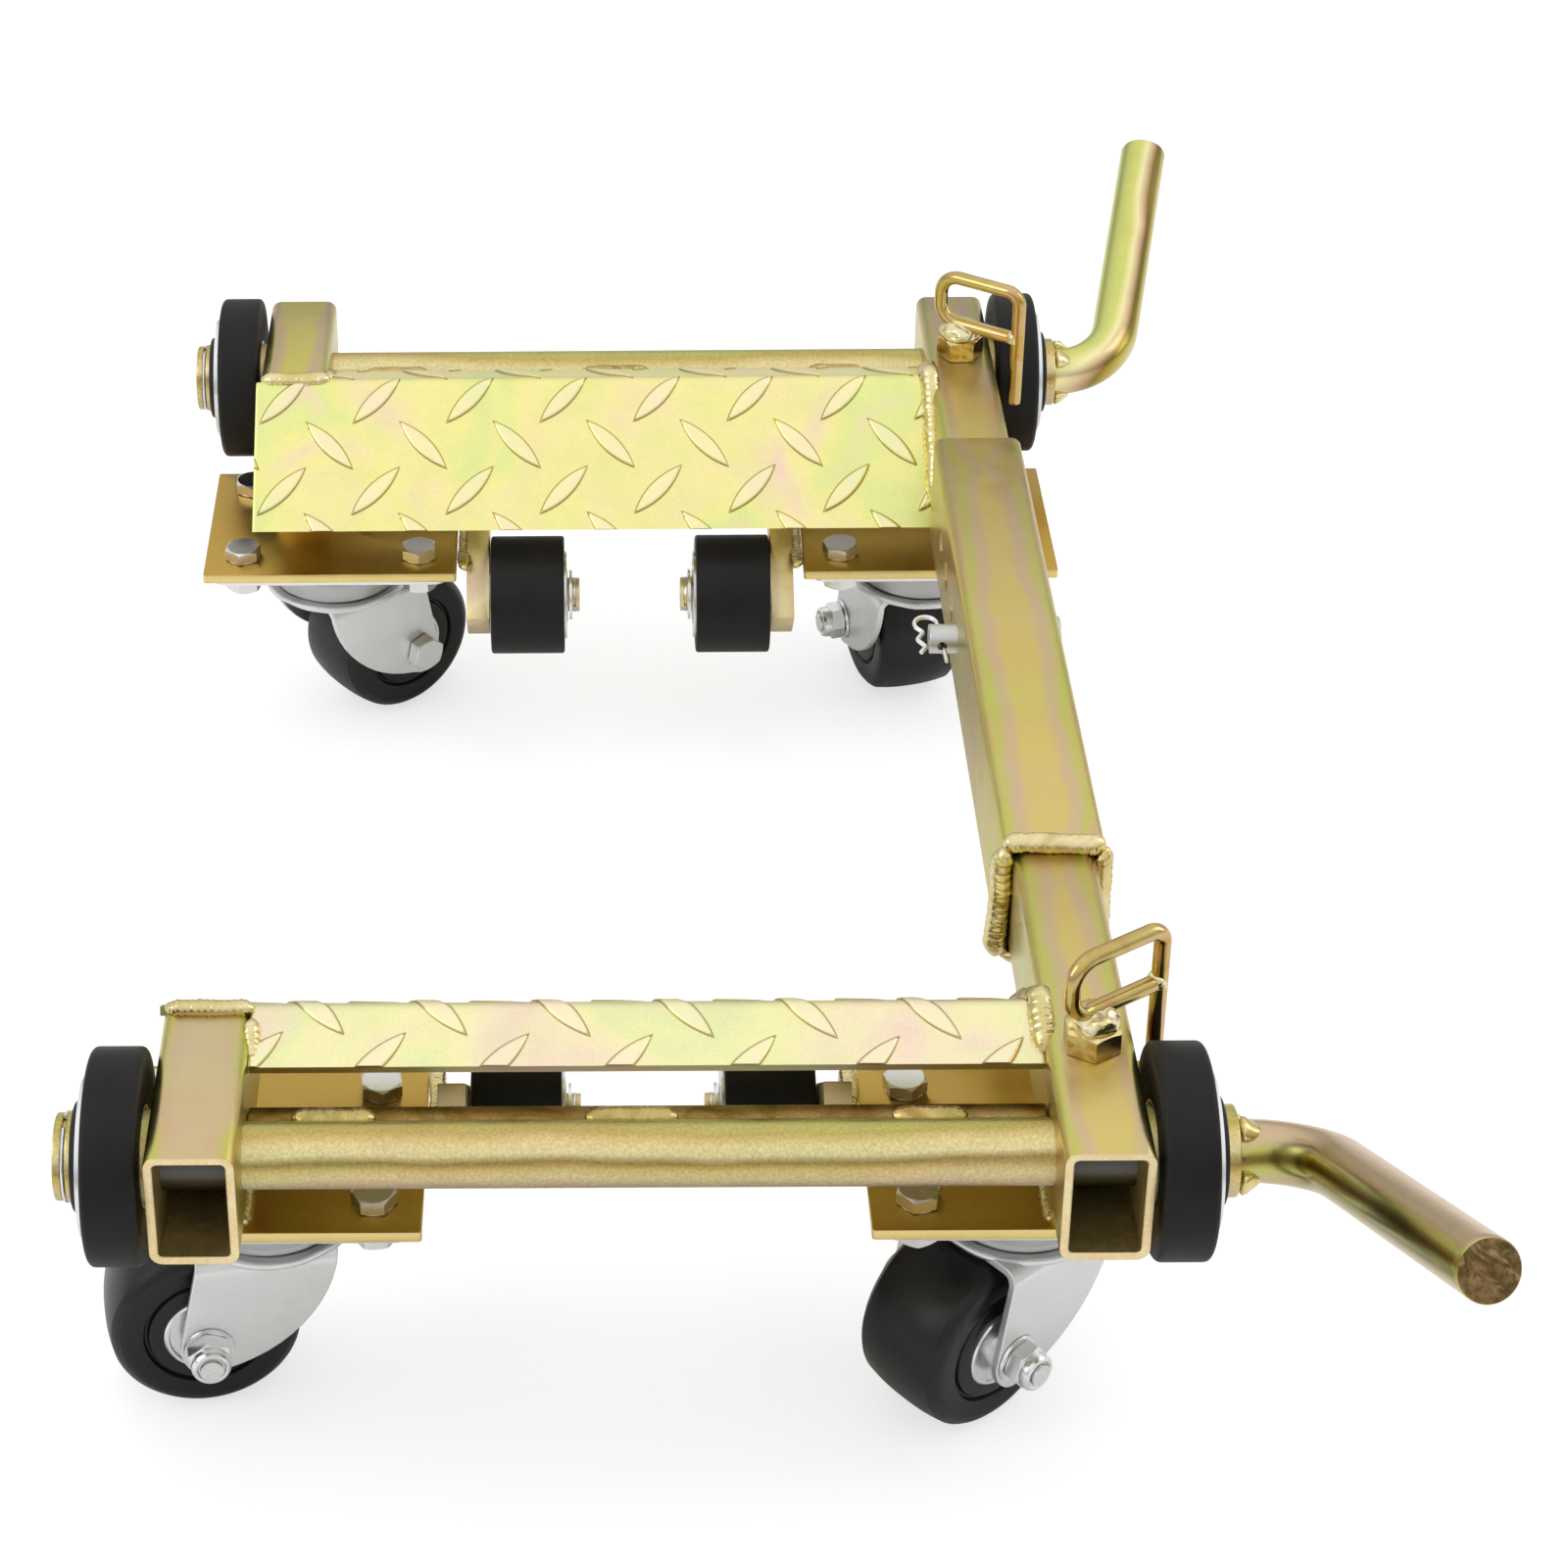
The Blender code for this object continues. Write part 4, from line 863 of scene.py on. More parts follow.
def ramp_mesh(arm, x_from, x_to, s_from=None, seam=None):
    """The bent plate with its raised lenses; s is measured down the main face from the ridge.

    seam is the x of a side where another piece goes on, which keeps its full height.
    """
    step = 0.0008
    line = resample(ramp_path("outer"), step)
    runs = [0.0]
    for a, b in zip(line, line[1:]):
        runs.append(runs[-1] + (b - a).length)
    ridge = min(range(len(line)), key=lambda i: (line[i].xy - Vector(CREST)).length)
    runs = [r - runs[ridge] - 0.0005 for r in runs]
    cells = lens_cells(arm)
    keep = [i for i in range(len(line)) if s_from is None or runs[i] >= s_from]
    columns = max(2, round((x_to - x_from) / step))
    points, faces, outline = [], [], []
    count = columns + 1
    for i in keep:
        a, b = line[max(i - 1, 0)], line[min(i + 1, len(line) - 1)]
        t = (b - a).normalized()
        normal = Vector((-t.y, t.x, 0))
        for j in range(count):
            x = x_from + (x_to - x_from) * j / columns
            lift, inside = lens_at(x, runs[i], cells)
            outline.append(inside)
            free = [abs(x - side) for side in (x_from, x_to) if side != seam or runs[i] < 0]
            rim = min(0.0006, *free) - 0.0006
            p = line[i] + normal * (lift + rim)
            points.append(spot(arm, x, p.x, p.y))
    rows = len(keep)
    for i in range(rows - 1):
        for j in range(columns):
            a = i * count + j
            faces.append((a, a + 1, a + count + 1, a + count))
    inner = ramp_path("inner")
    if s_from is not None:
        first = line[keep[0]]
        t = (line[keep[0] + 1] - first).normalized()
        foot = first + Vector((t.y, -t.x, 0)) * RAMP_T
        inner = [foot] + [p for p in inner if (p - foot).dot(t) > 0.0005]
    base = len(points)
    for p in inner:
        points.append(spot(arm, x_from, p.x, p.y))
        points.append(spot(arm, x_to, p.x, p.y))
    n = len(inner)
    for i in range(n - 1):
        a = base + 2 * i
        faces.append((a, a + 2, a + 3, a + 1))
    faces.append((*range(0, count), base + 1, base))
    last = (rows - 1) * count
    faces.append((*range(last, last + count), base + 2 * n - 1, base + 2 * n - 2))
    for column, step in ((0, 0), (columns, 1)):
        edge = [i * count + column for i in range(rows)]
        faces.append((*edge, *[base + 2 * i + step for i in reversed(range(n))]))
    mesh = mesh_of(points, faces)
    shade = mesh.attributes.new("lens_inside", "FLOAT", "POINT")
    for i in range(len(points)):
        shade.data[i].value = outline[i] if i < len(outline) else OUTSIDE
    return mesh


def lens_cells(arm):
    """Centres and leans of the lenses: rows 29 mm apart, every other row leaning the other way."""
    lean = math.atan2(0.0292, 0.0273)
    if arm == "far":
        first, phase, pitch, skew = 0.0128, 0.0147, 0.0555, 0.0
    else:
        first, phase, pitch, skew = -0.0012, 0.0130, 0.05595, -0.0145
    cells = []
    for row in range(-4, 4):
        flip = row % 2
        for k in range(-1, 9):
            x = phase + pitch * (k + 0.5 * flip)
            s = first + 0.0288 * row + skew * (x - TUBE_W)
            cells.append((x, s, lean if flip else -lean))
    return cells


for arm in SIDES:
    body = f"{arm}_arm"
    low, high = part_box(f"{arm}_ramp")
    x_from, x_to = low.x - LEFT, high.x - LEFT
    seam = TUBE_W + GAP
    whole = ramp_mesh(arm, seam, x_to, seam=seam)
    piece(f"{arm}_ramp_plate", whole, body, M_RAMP[arm], f"{arm}_ramp", angle=40)
    end = ramp_mesh(arm, x_from, seam, s_from=0.0, seam=seam)
    piece(f"{arm}_ramp_end", end, body, M_RAMP[arm], angle=40)


# Welds ---------------------------------------------------------------------------------------------


def weld(name, arm, path, size, seed, lean=(0, 0, 1), squash=0.8, pitch=0.0032, look=M_WELD):
    piece(name, bead(path, size, seed, pitch, squash, lean), f"{arm}_arm", look, angle=60)


STITCHES = ((0.0795, 0.0190), (0.213, 0.0210), (0.3465, 0.0170))       # middle and half length
RAMP_END_RUN = ((0.079, -0.008), (0.1055, 0.0028), (0.135, -0.0215), (0.172, -0.0525))
SIDE_RUN = ((0.001, 0.098, -0.001), (0.002, 0.086, -0.006), (0.002, 0.077, -0.012))

for arm, side in SIDES.items():
    for k, (x, half) in enumerate(STITCHES):
        run = [spot(arm, x + dx, ROD_IN + 0.0138, ROD_H + 0.0098) for dx in (-half, half)]
        weld(f"{arm}_stitch_{k + 1}", arm, run, 0.0047, 20 + k, squash=0.75, look=M_STITCH)
    ridge = [spot(arm, x, 0.1035, 0.001) for x in (0.0005, TUBE_W + 0.002)]
    weld(f"{arm}_ridge_weld", arm, ridge, 0.0046, 31 + side, (0, side * -0.4, 1))
    down = [spot(arm, TUBE_W + x, inboard, height) for x, inboard, height in SIDE_RUN]
    weld(f"{arm}_stub_side_weld", arm, down, 0.0042, 41 + side, (1, 0, 1))
    run = [spot(arm, ARM_W - TUBE_W - 0.0005, *at) for at in RAMP_END_RUN]
    weld(f"{arm}_ramp_end_weld", arm, run, 0.0062, 51 + side, (-1, 0, 1.2), pitch=0.0042)


def sleeve_weld(name, size, seed, lean, *points, pitch=0.0042):
    """A bead on the sleeve's near end through (x off its middle, height over its top) points."""
    path = [Vector((CROSS_X + x, SLEEVE_LOW.y + 0.0015, SLEEVE_HIGH.z + z)) for x, z in points]
    weld(f"sleeve_weld_{name}", "near", path, size, seed, lean, pitch=pitch)


FOOT = SLEEVE_LOW.z - SLEEVE_HIGH.z + 0.002
sleeve_weld("left", 0.0058, 71, (-1, -1, 0), (-0.0265, -0.068), (-0.0245, -0.0035), pitch=0.0044)
sleeve_weld("top", 0.0050, 72, (0, -1, 1), (-0.0245, -0.0035), (-0.0215, -0.0012), (0.0215, -0.0012),
            (0.0245, -0.0035))
sleeve_weld("right", 0.0050, 73, (1, -1, 0), (0.0245, -0.0035), (0.0245, -0.068))
sleeve_weld("bottom", 0.0045, 74, (0, -1, -1), (-0.023, FOOT), (0.023, FOOT))


# End wheels and rollers ----------------------------------------------------------------------------


def arc(cx, cr, radius, start, stop, steps=6):
    """Points (along, radius) on an arc, angles in degrees from the along axis."""
    out = []
    for i in range(steps + 1):
        a = math.radians(start + (stop - start) * i / steps)
        out.append((cx + radius * math.cos(a), cr + radius * math.sin(a)))
    return out


def mm(*pairs):
    """A profile or path that is listed in millimetres."""
    return [(a / 1000, b / 1000) for a, b in pairs]


# Profiles as (distance, radius): out from a tube's outer face for end wheels, in from it for rollers.
END_TYRE = [*mm((28, 36.3), (28.4, 38.5)), *arc(0.0250, 0.0455, 0.003, 0, 90),
            *arc(0.0065, 0.0455, 0.003, 90, 180),
            *mm((3.5, 38.5), (4.1, 37.2), (4.1, 23.8), (4.7, 23.2), (6.6, 23.2), (6.6, 36.3))]
END_DISC = mm((31.8, 21.2), (31.8, 26.2), (30.6, 27.2), (30.6, 33.5), (31.2, 34.2), (31.2, 36),
              (6.8, 36), (6.8, 22.9), (4, 22.9), (4, 21.2))
END_SEAL = mm((35.2, 20.8), (35.2, 24), (34.6, 24.6), (32.2, 24.6), (32.2, 20.8))
ROLLER_TREAD = [(0.181, 0.0262), *arc(0.1795, 0.0335, 0.0015, 0, 90, 3),
                *arc(0.139, 0.0335, 0.0015, 90, 180, 3), (0.1375, 0.0262)]
ROLLER_DISC = mm((183, 10.3), (183, 16), (181.8, 17.2), (181.8, 22.5), (182.4, 23.2), (182.4, 26),
                 (137, 26), (137, 10.3))
ROLLER_SHAFT = mm((130, 0), (130, 10), (186.2, 10), (186.2, 8.6), (187.6, 8.6), (187.6, 10), (190, 10),
                  (190, 0))
ROLLER_WASHER = mm((185.5, 10.2), (185.5, 15), (184, 15), (184, 10.2))

for arm in SIDES:
    for end, sign in ENDS.items():
        body = f"{arm}_{end}_end_wheel"
        origin = spot(arm, from_end(end, 0), ROD_IN, ROD_H)
        axis = (-sign, 0, 0)
        piece(f"{body}_tyre", lathe(END_TYRE, origin, axis, 144), body, M_RUBBER, f"{arm}_{end}_end_tyre")
        piece(f"{body}_disc", lathe(END_DISC, origin, axis, 96), body, M_SILVER, f"{arm}_{end}_end_hub")
        piece(f"{body}_seal", lathe(END_SEAL, origin, axis, 96), f"{arm}_arm", M_RING)
        if end == "left":
            wire = []
            for i in range(49):
                a = math.radians(12 + 336 * i / 48)
                wire.append(origin + Vector((ROD_FROM + 0.0047, 0.0195 * math.sin(a), 0.0195 * math.cos(a))))
            piece(f"{body}_clip", sweep(wire, 0.0009, 10), f"{arm}_arm", M_SILVER)

        body = f"{arm}_{end}_roller"
        origin = spot(arm, from_end(end, 0), ROLLER_IN, ROLLER_H)
        axis = (sign, 0, 0)
        piece(f"{body}_tread", lathe(ROLLER_TREAD, origin, axis, 128), body, M_RUBBER, f"{body}_tyre")
        piece(f"{body}_disc", lathe(ROLLER_DISC, origin, axis, 96), body, M_SILVER, f"{body}_hub")
        down = Vector((math.cos(SLOPE), -math.sin(SLOPE)))
        across = Vector((math.sin(SLOPE), math.cos(SLOPE))) * 0.014
        low_end = Vector((ROLLER_IN, ROLLER_H)) + down * 0.020
        high_end = low_end - down * 0.092
        outline = [low_end + across, low_end - across, high_end - across, high_end + across]
        a, b = sorted((from_end(end, 0.123), from_end(end, 0.1365)))
        bar = prism([tuple(p) for p in outline], a, b, arm_frame(arm), 0.0008)
        shaft = lathe(soft_profile(ROLLER_SHAFT, 0.0004), origin, axis, 64)
        piece(f"{body}_bar", joined(bar, shaft), f"{arm}_arm", M_CUT, f"{body}_bracket")
        piece(f"{body}_washer", lathe(ROLLER_WASHER, origin, axis, 64), f"{arm}_arm", M_SILVER)
        wire = []
        for i in range(41):
            a = math.radians(200 + 320 * i / 40)
            wire.append(origin + Vector((sign * 0.1869, 0.0098 * math.cos(a), 0.0098 * math.sin(a))))
        piece(f"{body}_clip", sweep(wire, 0.0008, 8), f"{arm}_arm", M_SILVER)


# Caster plates and bolts ---------------------------------------------------------------------------

PLATE_TOP, PLATE_T = TOP - 0.091, 0.006
PLATE_HALF = Vector((0.075, 0.0605, 0))
TOP_T, TOP_X, TOP_Y = 0.004, 0.071, 0.0565      # a caster's own top plate: thickness, half sizes
UNDER = PLATE_TOP - PLATE_T - GAP - TOP_T       # its underside
CROWN_TOP = 0.100
BOLT_FLATS, BOLT_RISE = 0.019, 0.0075
BOLT_X, BOLT_Y = 0.0525, 0.040
RACE = mm((-0.5, 0), (-0.5, 52), (1.2, 50), (3, 46), (6.2, 42.5), (8.5, 44), (10, 43.5), (10.8, 40),
          (12, 38.5), (20, 38.2), (22.5, 38.8), (23.3, 38.4), (23.3, 0))
BOLT_WASHER = mm((0.1, 6.6), (0.1, 9.8), (0.8, 9.8), (0.8, 6.6))
NUT_WASHER = mm((0, 6.2), (0, 11.8), (-1.6, 11.8), (-1.6, 6.2))
UP, DOWN = Vector((0, 0, 1)), Vector((0, 0, -1))


def caster_centre(arm, end):
    return spot(arm, from_end(end, CASTER_FROM_END), CASTER_IN, 0)


def at_height(p, z):
    return Vector((p.x, p.y, z))


def crumpled(mesh, centre, beyond, depth):
    """Lets pressed sheet wander up and down a little outside a radius."""
    for v in mesh.vertices:
        out = Vector((v.co.x - centre.x, v.co.y - centre.y, 0))
        if out.length > beyond:
            turn = math.atan2(out.y, out.x)
            at = Vector((math.cos(turn) * 3.1, math.sin(turn) * 3.1, v.co.z * 120 + centre.x * 40))
            v.co.z += depth * noise.noise(at)
    return mesh


for arm, side in SIDES.items():
    body = f"{arm}_arm"
    for end, sign in ENDS.items():
        name = f"{arm}_{end}"
        centre = caster_centre(arm, end)
        low, high = centre - PLATE_HALF, centre + PLATE_HALF
        plate = block(at_height(low, PLATE_TOP - PLATE_T), at_height(high, PLATE_TOP), 0.0008, 0.0015)
        low, high = [spot(arm, from_end(end, x), y, 0) for x, y in ((0.005, 0.060), (0.035, 0.118))]
        riser = block(at_height(low, PLATE_TOP - 0.001), at_height(high, TOP - TUBE_H - GAP), 0.0010)
        piece(f"{name}_plate", joined(plate, riser), body, M_PLATE, f"{name}_caster_plate")
        outline = fillet([(-TOP_X, -TOP_Y), (TOP_X, -TOP_Y), (TOP_X, TOP_Y), (-TOP_X, TOP_Y)], 0.010, 6)
        under = at_height(centre, UNDER)
        top = prism(outline, 0, TOP_T, Matrix.Translation(under), 0.0008)
        race = crumpled(lathe(soft_profile(RACE, 0.0008), under, DOWN, 144), centre, 0.040, 0.0006)
        bolts, washers = [], []
        for k, (i, j) in enumerate(((-1, -1), (-1, 1), (1, -1), (1, 1))):
            at = at_height(centre, PLATE_TOP) + Vector((i * BOLT_X, j * BOLT_Y, 0.0001))
            turn = random.Random(f"{name}{k}").random() * 1.05
            washers.append(lathe(soft_profile(BOLT_WASHER, 0.0002), at, UP, 48))
            bolts.append(hexagon(at + UP * 0.0008, UP, BOLT_FLATS, BOLT_RISE - 0.0008, turn))
            low = at_height(at, UNDER)
            washers.append(lathe(NUT_WASHER, low, UP, 48))
            bolts.append(hexagon(low + DOWN * 0.0016, DOWN, BOLT_FLATS, 0.0084, turn * 2, both=True))
            bolts.append(cylinder(low + UP * 0.001, low + DOWN * 0.0108, 0.0058, 32))
        piece(f"{name}_top_plate", top, body, M_SILVER, f"{name}_caster_top", angle=28)
        piece(f"{name}_race", race, body, M_RACE, angle=28)
        piece(f"{name}_bolts", joined(*bolts), body, M_BOLT, angle=25)
        piece(f"{name}_washers", joined(*washers), body, M_BOLT)
        x = from_end(end, 0.1172) + sign * 0.0045
        seam = [spot(arm, x, inboard, -0.0905) for inboard in (0.172, 0.108)]
        weld(f"{name}_bracket_weld", arm, seam, 0.0042, 90 + side + sign, (sign * 0.3, 0, 1))
        seam = [spot(arm, from_end(end, 0.0355), inboard, -0.0905) for inboard in (0.061, 0.116)]
        weld(f"{name}_riser_weld", arm, seam, 0.004, 95 + side + sign, (sign, 0, 1))


# Casters -------------------------------------------------------------------------------------------

WHEEL_R, TRAIL, WHEEL_HALF = 0.047, 0.0355, 0.026
CHEEK_OUT, CHEEK_T, CHEEK_ROUND = 0.0365, 0.004, 0.0085
CHEEK_ARC = (0.0435, 0.1030, 0.0720)        # leading edge: centre and radius
BOSS_BACK, BOSS_DOWN = 0.0135, 0.017
CHEEK_BACK = mm((46.2, 60), (42.8, 78), (39.4, 94))
CROWN = mm((0, 0), (0, 42.5), (0.6, 43.6), (2, 44), (3.4, 43.6), (4.2, 42.4), (4.4, 40.5), (5.8, 39.2),
           (6.4, 37.2), (6.2, 33), (5, 30), (5, 0))
# The wheel's side and its bearing as (depth under the side face, radius).
WHEEL_SIDE = mm((0, 10.5), (0, 19.5), (0.5, 20.2), (0.5, 27.5), (2.8, 28.2), (2.8, 29.5), (0.2, 30.2),
                (0.2, 38.5), (0.8, 41), (2.6, 43.4))
BEARING = mm((2, 6.2), (-1, 6.2), (-1, 10), (-0.4, 16.5), (-0.4, 17.6), (-1.6, 18.2), (-1.6, 19.6),
             (-0.8, 20.4), (2, 20.4))
TREAD_STEPS = (0.82, 0.6, 0.4, 0.2, 0, -0.2, -0.4, -0.6, -0.82)
COLLAR = mm((8.5, 0), (8.5, 9.4), (12.8, 9.4), (14.2, 8.6), (14.7, 7.6), (14.3, 6.8), (12.8, 6.4), (12.8, 0))
AXLE_WASHER = mm((0, 6.3), (1.4, 6.3), (1.4, 11.8), (0, 12.2))
SPACER = mm((0, 6.3), (5.8, 6.3), (5.8, 10), (0, 10))
AXLE_FLATS, AXLE_HEAD = 0.0195, 0.0080


def caster_frame(arm, end):
    """u is the way the wheel trails, v is up, the third axis is the axle."""
    yaw = math.radians(CASTER_YAW[f"{arm}_{end}"])
    trail = Vector((math.cos(yaw), math.sin(yaw), 0))
    made = Matrix((trail, UP, trail.cross(UP))).transposed().to_4x4()
    made.translation = at_height(caster_centre(arm, end), 0)
    return made


def fork_mesh(place):
    """A pressed fork: a strip bent over the wheel, trimmed to its side outline, under a round drawn crown."""
    w, t, r = CHEEK_OUT, CHEEK_T, CHEEK_ROUND
    top = CROWN_TOP - 0.0012
    outer = fillet([(-w, 0.0), (-w, top), (w, top), (w, 0.0)], [0, r, r, 0], 8)
    inner = fillet([(w - t, 0.0), (w - t, top - t), (t - w, top - t), (t - w, 0.0)], [0, r - t, r - t, 0], 8)
    turned = Matrix(((0, 0, 1, 0), (0, 1, 0, 0), (-1, 0, 0, 0), (0, 0, 0, 1)))
    strip = prism([(p.x, p.y) for p in outer + inner], -0.060, 0.065, turned, 0)
    arc_u, arc_v, arc_r = CHEEK_ARC
    leading = [math.radians(a) for a in range(186, 259, 6)]
    boss = [math.radians(a) for a in range(-90, 1, 10)]
    side = [(arc_u - arc_r, top + 0.01)]
    side += [(arc_u + arc_r * math.cos(a), arc_v + arc_r * math.sin(a)) for a in leading]
    side += [(TRAIL + BOSS_BACK * math.cos(a), WHEEL_R + BOSS_DOWN * math.sin(a)) for a in boss]
    side += [*CHEEK_BACK, (0.0370, top + 0.01)]
    mesh = boolean(strip, prism(side, -0.05, 0.05, Matrix.Identity(4), 0), "INTERSECT")
    bm = bmesh.new()
    bm.from_mesh(mesh)
    bmesh.ops.remove_doubles(bm, verts=bm.verts, dist=0.00002)
    bmesh.ops.dissolve_limit(bm, angle_limit=0.01, verts=bm.verts, edges=bm.edges)
    bmesh.ops.transform(bm, matrix=place, verts=bm.verts)
    return mesh_from(bm)


def crown_mesh(centre):
    """The round crown: a rolled rim with a crease under it."""
    shape = lathe(soft_profile(CROWN, 0.0005), at_height(centre, CROWN_TOP), DOWN, 144)
    return crumpled(shape, centre, 0.034, 0.0012)


def soften(obj, width, segments):
    step = obj.modifiers.new("Soft edges", "BEVEL")
    step.width = width
    step.segments = segments
    step.limit_method = "ANGLE"
    step.angle_limit = math.radians(40)
    step.use_clamp_overlap = True
    step.harden_normals = False


side = [(WHEEL_HALF - depth, r) for depth, r in WHEEL_SIDE]
tread = [(WHEEL_HALF * t, WHEEL_R - 0.0030 * abs(t) ** 2.4) for t in TREAD_STEPS]
profile = side + tread + [(-z, r) for z, r in reversed(side)]
WHEEL_PROFILE = [(p.x, p.y) for p in fillet(profile, 0.0006, 2)]
BEARING_PROFILE = [(WHEEL_HALF - depth, r) for depth, r in BEARING]

for arm in SIDES:
    for end in ENDS:
        name = f"{arm}_{end}"
        body, wheel_body = f"{name}_caster", f"{name}_caster_wheel_body"
        place = caster_frame(arm, end)
        fork = piece(f"{name}_fork", fork_mesh(place), body, M_PRESSED, f"{name}_caster_fork", angle=25)
        soften(fork, 0.0009, 3)
        piece(f"{name}_crown", crown_mesh(place.translation), body, M_PRESSED, angle=50)
        hub = place @ Vector((TRAIL, WHEEL_R, 0))
        axis = place.to_3x3() @ UP
        wheel = lathe(WHEEL_PROFILE, hub, axis, 144)
        piece(f"{name}_wheel", wheel, wheel_body, M_NYLON, f"{name}_caster_wheel", angle=30)
        bearings = [lathe(BEARING_PROFILE, hub, axis * sign, 96) for sign in (1, -1)]
        piece(f"{name}_bearing", joined(*bearings), wheel_body, M_SILVER)
        face = CHEEK_OUT + GAP
        nut_side = hub - axis * face
        parts = [
            hexagon(hub + axis * (face + 0.0002), axis, AXLE_FLATS, AXLE_HEAD, 0.4),
            cylinder(hub + axis * (face + 0.003), hub - axis * (face + 0.0158), 0.0056, 48),
            hexagon(hub - axis * (face + 0.0014), -axis, AXLE_FLATS, AXLE_HEAD, 0.3, both=True),
            lathe(soft_profile(COLLAR, 0.0004), nut_side, -axis, 64),
            lathe(AXLE_WASHER, nut_side, -axis, 64),
        ]
        for sign in (1, -1):
            parts.append(lathe(SPACER, hub + axis * sign * (WHEEL_HALF + 0.0006), axis * sign, 48))
        piece(f"{name}_axle", joined(*parts), body, M_SILVER, f"{name}_caster_axle", angle=25)


# Loop pins, lock pin and clip ----------------------------------------------------------------------

PIN_IN, PIN_HEADING = 0.0746, math.radians(33)
LOOP_CORNERS = mm((34, 20), (-14, 20), (-14, 50), (38, 50), (38, -22))      # along the heading, height
NUT_TURN = {"near": 0.0, "far": math.pi / 6}

for arm, side in SIDES.items():
    axis = spot(arm, ARM_W - TUBE_W / 2, PIN_IN, 0)
    nut = hexagon(at_height(axis, TOP + GAP), UP, 0.024, 0.012, NUT_TURN[arm], bore=0.0066)
    piece(f"{arm}_nut", nut, f"{arm}_arm", M_NUT, f"{arm}_pin_nut", angle=25)
    heading = Vector((math.cos(PIN_HEADING), -side * math.sin(PIN_HEADING), 0))

    def along(distance, height):
        return axis + heading * distance + UP * height

    corners = [along(*at) for at in LOOP_CORNERS]
    path = resample(rounded_path(corners, [0.012, 0.012, 0.008], 12), 0.0025)
    loop = sweep(path, 0.004, 28, dome=0.0008)
    plunger = cylinder(along(0, -0.028), along(0, 0.018), 0.006, 48)
    piece(f"{arm}_loop", joined(loop, plunger), f"{arm}_loop_pin", M_WIRE, f"{arm}_loop_pin")
    lumps = [blob(along(0, 0.0155), 0.0112, 7 + side, (1.05, 1.0, 0.58))]
    lumps.append(blob(along(0.036, 0.0205), 0.0048, 17 + side))
    for k in range(5):
        a = 1.2 * k
        at = along(0, 0.0150) + Vector((0.0062 * math.cos(a), 0.0062 * math.sin(a), 0))
        lumps.append(blob(at, 0.0040, 3 * k + side))
    piece(f"{arm}_loop_welds", joined(*lumps), f"{arm}_loop_pin", M_SPLATTER, angle=60)

LOCK_PROFILE = mm((0, 0), (0, 8), (65.5, 8), (65.5, 12), (70.8, 12), (70.8, 0))
pin = lathe(soft_profile(LOCK_PROFILE, 0.0007), (LOCK[0].x, LOCK_Y, LOCK_Z), (1, 0, 0), 96)
hole_at = Vector((LOCK[0].x + 0.0067, LOCK_Y, LOCK_Z))
reach = Vector((0, 0.015, 0))
pin = boolean(pin, cylinder(hole_at - reach, hole_at + reach, 0.0026, 32), "DIFFERENCE")
piece("crossbar_pin", pin, "lock_pin", M_PIN, "lock_pin")
place = Matrix.Translation(hole_at) @ Matrix.Rotation(math.radians(5), 4, "Z")
place = place @ Matrix.Rotation(math.radians(7), 4, "X")
CLIP_EYE, CLIP_WIRE = 0.0062, 0.00125
turns = [math.radians(10 * i) for i in range(22)]
eye = [(CLIP_EYE * (math.cos(a) - 1), 0.013 + CLIP_EYE * math.sin(a)) for a in turns]
wave = [eye[-1], *mm((-8.8, 6.2), (-13, 0.2), (-9.2, -6), (-12.5, -10.5))]
wave = fillet(wave, [0, 0.0015, 0.0015, 0.0015, 0], 6, closed=False)
path = [(0, -0.019), *eye[:-1], *[(p.x, p.y) for p in wave]]
path = [place @ Vector((x, y, 0)) for x, y in path]
clip = sweep(resample(path, 0.001), CLIP_WIRE, 20, dome=0.0004)
piece("pin_clip", clip, "lock_clip", M_SILVER, "lock_clip")


# Stage, light and camera ---------------------------------------------------------------------------

FLOOR_HALF = 24
SKY_STOPS = ((0.0, 0.50), (0.30, 0.66), (0.46, 0.92), (1.0, 1.12))      # height of a direction, brightness


def stage_material():
    """A pale floor that shines white for the camera and lights the object like a grey one."""
    n = Nodes("stage")
    seen = n.node("ShaderNodeLightPath").outputs["Is Camera Ray"]
    n.link(n.mix(seen, (0.80, 0.80, 0.79), (0.42, 0.42, 0.42)), n.shader.inputs["Base Color"])
    n.shader.inputs["Emission Color"].default_value = (1, 1, 1, 1)
    n.link(n.spread(seen, 0.0, 0.66), n.shader.inputs["Emission Strength"])
    n.shader.inputs["Roughness"].default_value = 0.9
    n.shader.inputs["Specular IOR Level"].default_value = 0.0
    return n.material


corners = [(x * FLOOR_HALF, y * FLOOR_HALF, 0) for x, y in ((-1, -1), (1, -1), (1, 1), (-1, 1))]
floor_mesh = mesh_of(corners, [(0, 1, 2, 3)])
floor = bpy.data.objects.new("floor", floor_mesh)
floor_mesh.materials.append(stage_material())
bpy.context.scene.collection.objects.link(floor)

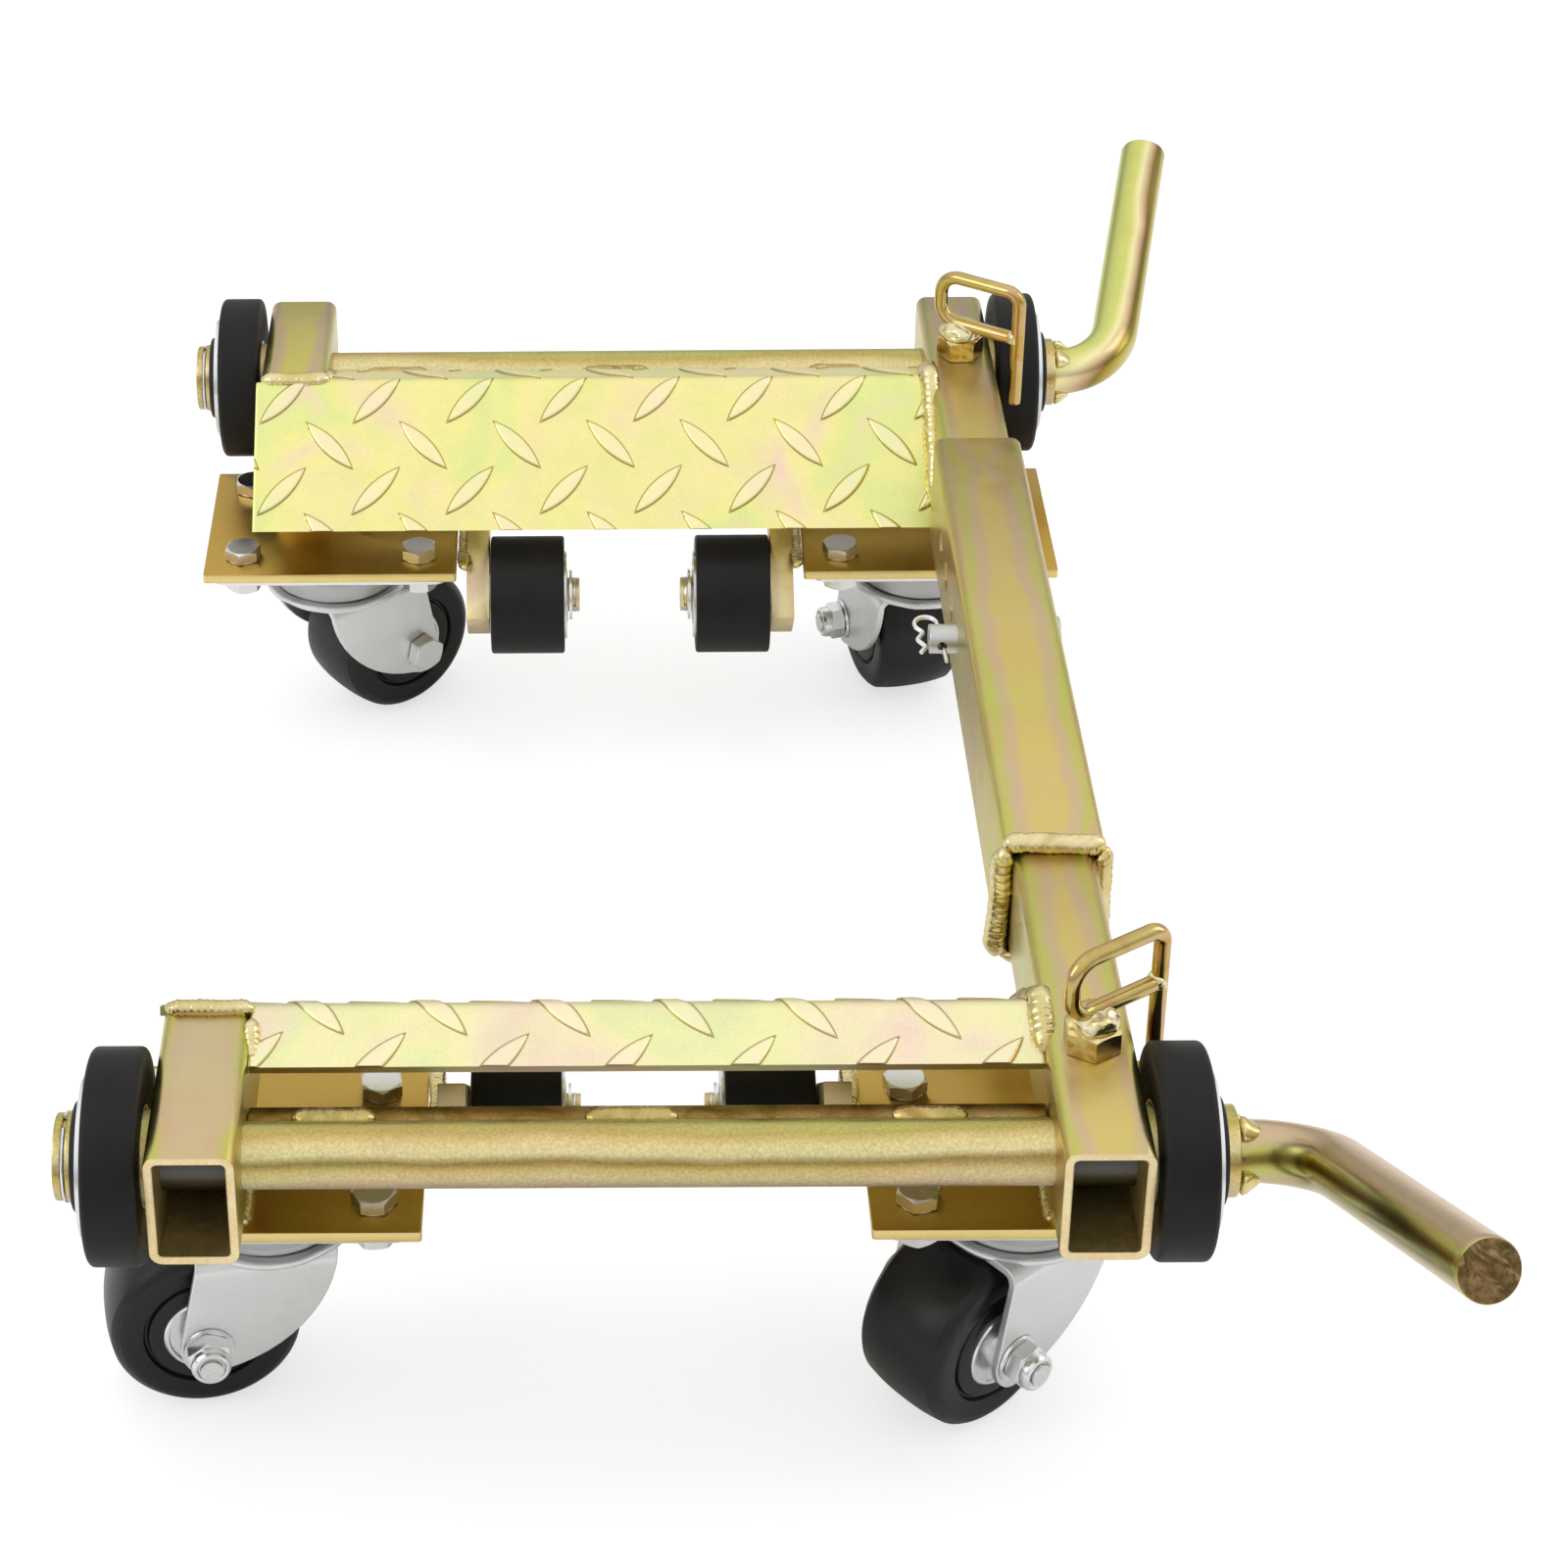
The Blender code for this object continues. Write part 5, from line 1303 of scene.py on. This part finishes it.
world = bpy.data.worlds.new("studio")
bpy.context.scene.world = world
world.use_nodes = True
tree = world.node_tree
background = tree.nodes["Background"]
coords = tree.nodes.new("ShaderNodeTexCoord")
split = tree.nodes.new("ShaderNodeSeparateXYZ")
tree.links.new(coords.outputs["Generated"], split.inputs["Vector"])
sky = tree.nodes.new("ShaderNodeValToRGB")
for element in range(len(SKY_STOPS) - 2):
    sky.color_ramp.elements.new(0.5)
for element, (height, shade) in zip(sky.color_ramp.elements, SKY_STOPS):
    element.position = height
    element.color = (shade, shade, shade, 1)
tree.links.new(split.outputs["Z"], sky.inputs["Fac"])
seen = tree.nodes.new("ShaderNodeMix")      # white for the camera, so that no horizon shows
seen.data_type = "RGBA"
seen.inputs[7].default_value = (1, 1, 1, 1)
tree.links.new(tree.nodes.new("ShaderNodeLightPath").outputs["Is Camera Ray"], seen.inputs[0])
tree.links.new(sky.outputs["Color"], seen.inputs[6])
tree.links.new(seen.outputs[2], background.inputs["Color"])
background.inputs["Strength"].default_value = 1.0


def softbox(name, at, toward, size, power):
    data = bpy.data.lights.new(name, "AREA")
    data.shape = "RECTANGLE"
    data.size, data.size_y = size
    data.energy = power
    obj = bpy.data.objects.new(name, data)
    obj.location = at
    obj.rotation_mode = "QUATERNION"
    obj.rotation_quaternion = (Vector(toward) - Vector(at)).to_track_quat("-Z", "Y")
    bpy.context.scene.collection.objects.link(obj)
    return obj


overhead = softbox("overhead", (0.0, 0.3, 2.2), (0, 0, 0), (2.4, 2.4), 18)
overhead.visible_glossy = False
softbox("left_key", (-2.2, -0.8, 1.6), (0, 0, 0.1), (1.2, 1.6), 12)
softbox("right_fill", (2.2, 0.2, 1.3), (0, 0, 0.1), (0.8, 1.8), 8)

PITCH, YAW, ROLL = 0.508, -0.012, -0.013
STATION = (LEFT + 0.19584, -HALF_SPAN - 1.25866, TOP + 1.06702)
FOCAL_LENGTH, SHIFT_X, SHIFT_Y = 85.97, 0.150, -0.234
camera_data = bpy.data.cameras.new("camera")
camera = bpy.data.objects.new("camera", camera_data)
bpy.context.scene.collection.objects.link(camera)
ahead = Vector((math.sin(YAW) * math.cos(PITCH), math.cos(YAW) * math.cos(PITCH), -math.sin(PITCH)))
level = Vector((math.cos(YAW), -math.sin(YAW), 0))
above = level.cross(ahead)
axis_x = level * math.cos(ROLL) + above * math.sin(ROLL)
axis_y = above * math.cos(ROLL) - level * math.sin(ROLL)
camera.matrix_world = Matrix((axis_x, axis_y, -ahead)).transposed().to_4x4()
camera.location = STATION
camera_data.sensor_width = 36
camera_data.lens = FOCAL_LENGTH
camera_data.clip_start, camera_data.clip_end = 0.1, 60


def home_shift(prop, value):
    """The lens shift belongs to the main view only, so it drops to nought when the camera is moved."""
    curve = camera_data.driver_add(prop)
    driver = curve.driver
    driver.type = "SCRIPTED"
    watched = driver.variables.new()
    watched.name = "height"
    watched.type = "TRANSFORMS"
    watched.targets[0].id = camera
    watched.targets[0].transform_type = "LOC_Z"
    watched.targets[0].transform_space = "WORLD_SPACE"
    driver.expression = f"{value} * (abs(height - {camera.location.z:.6f}) < 0.0005)"


home_shift("shift_x", SHIFT_X)
home_shift("shift_y", SHIFT_Y)
bpy.context.scene.camera = camera
bpy.context.scene.view_settings.view_transform = "Standard"
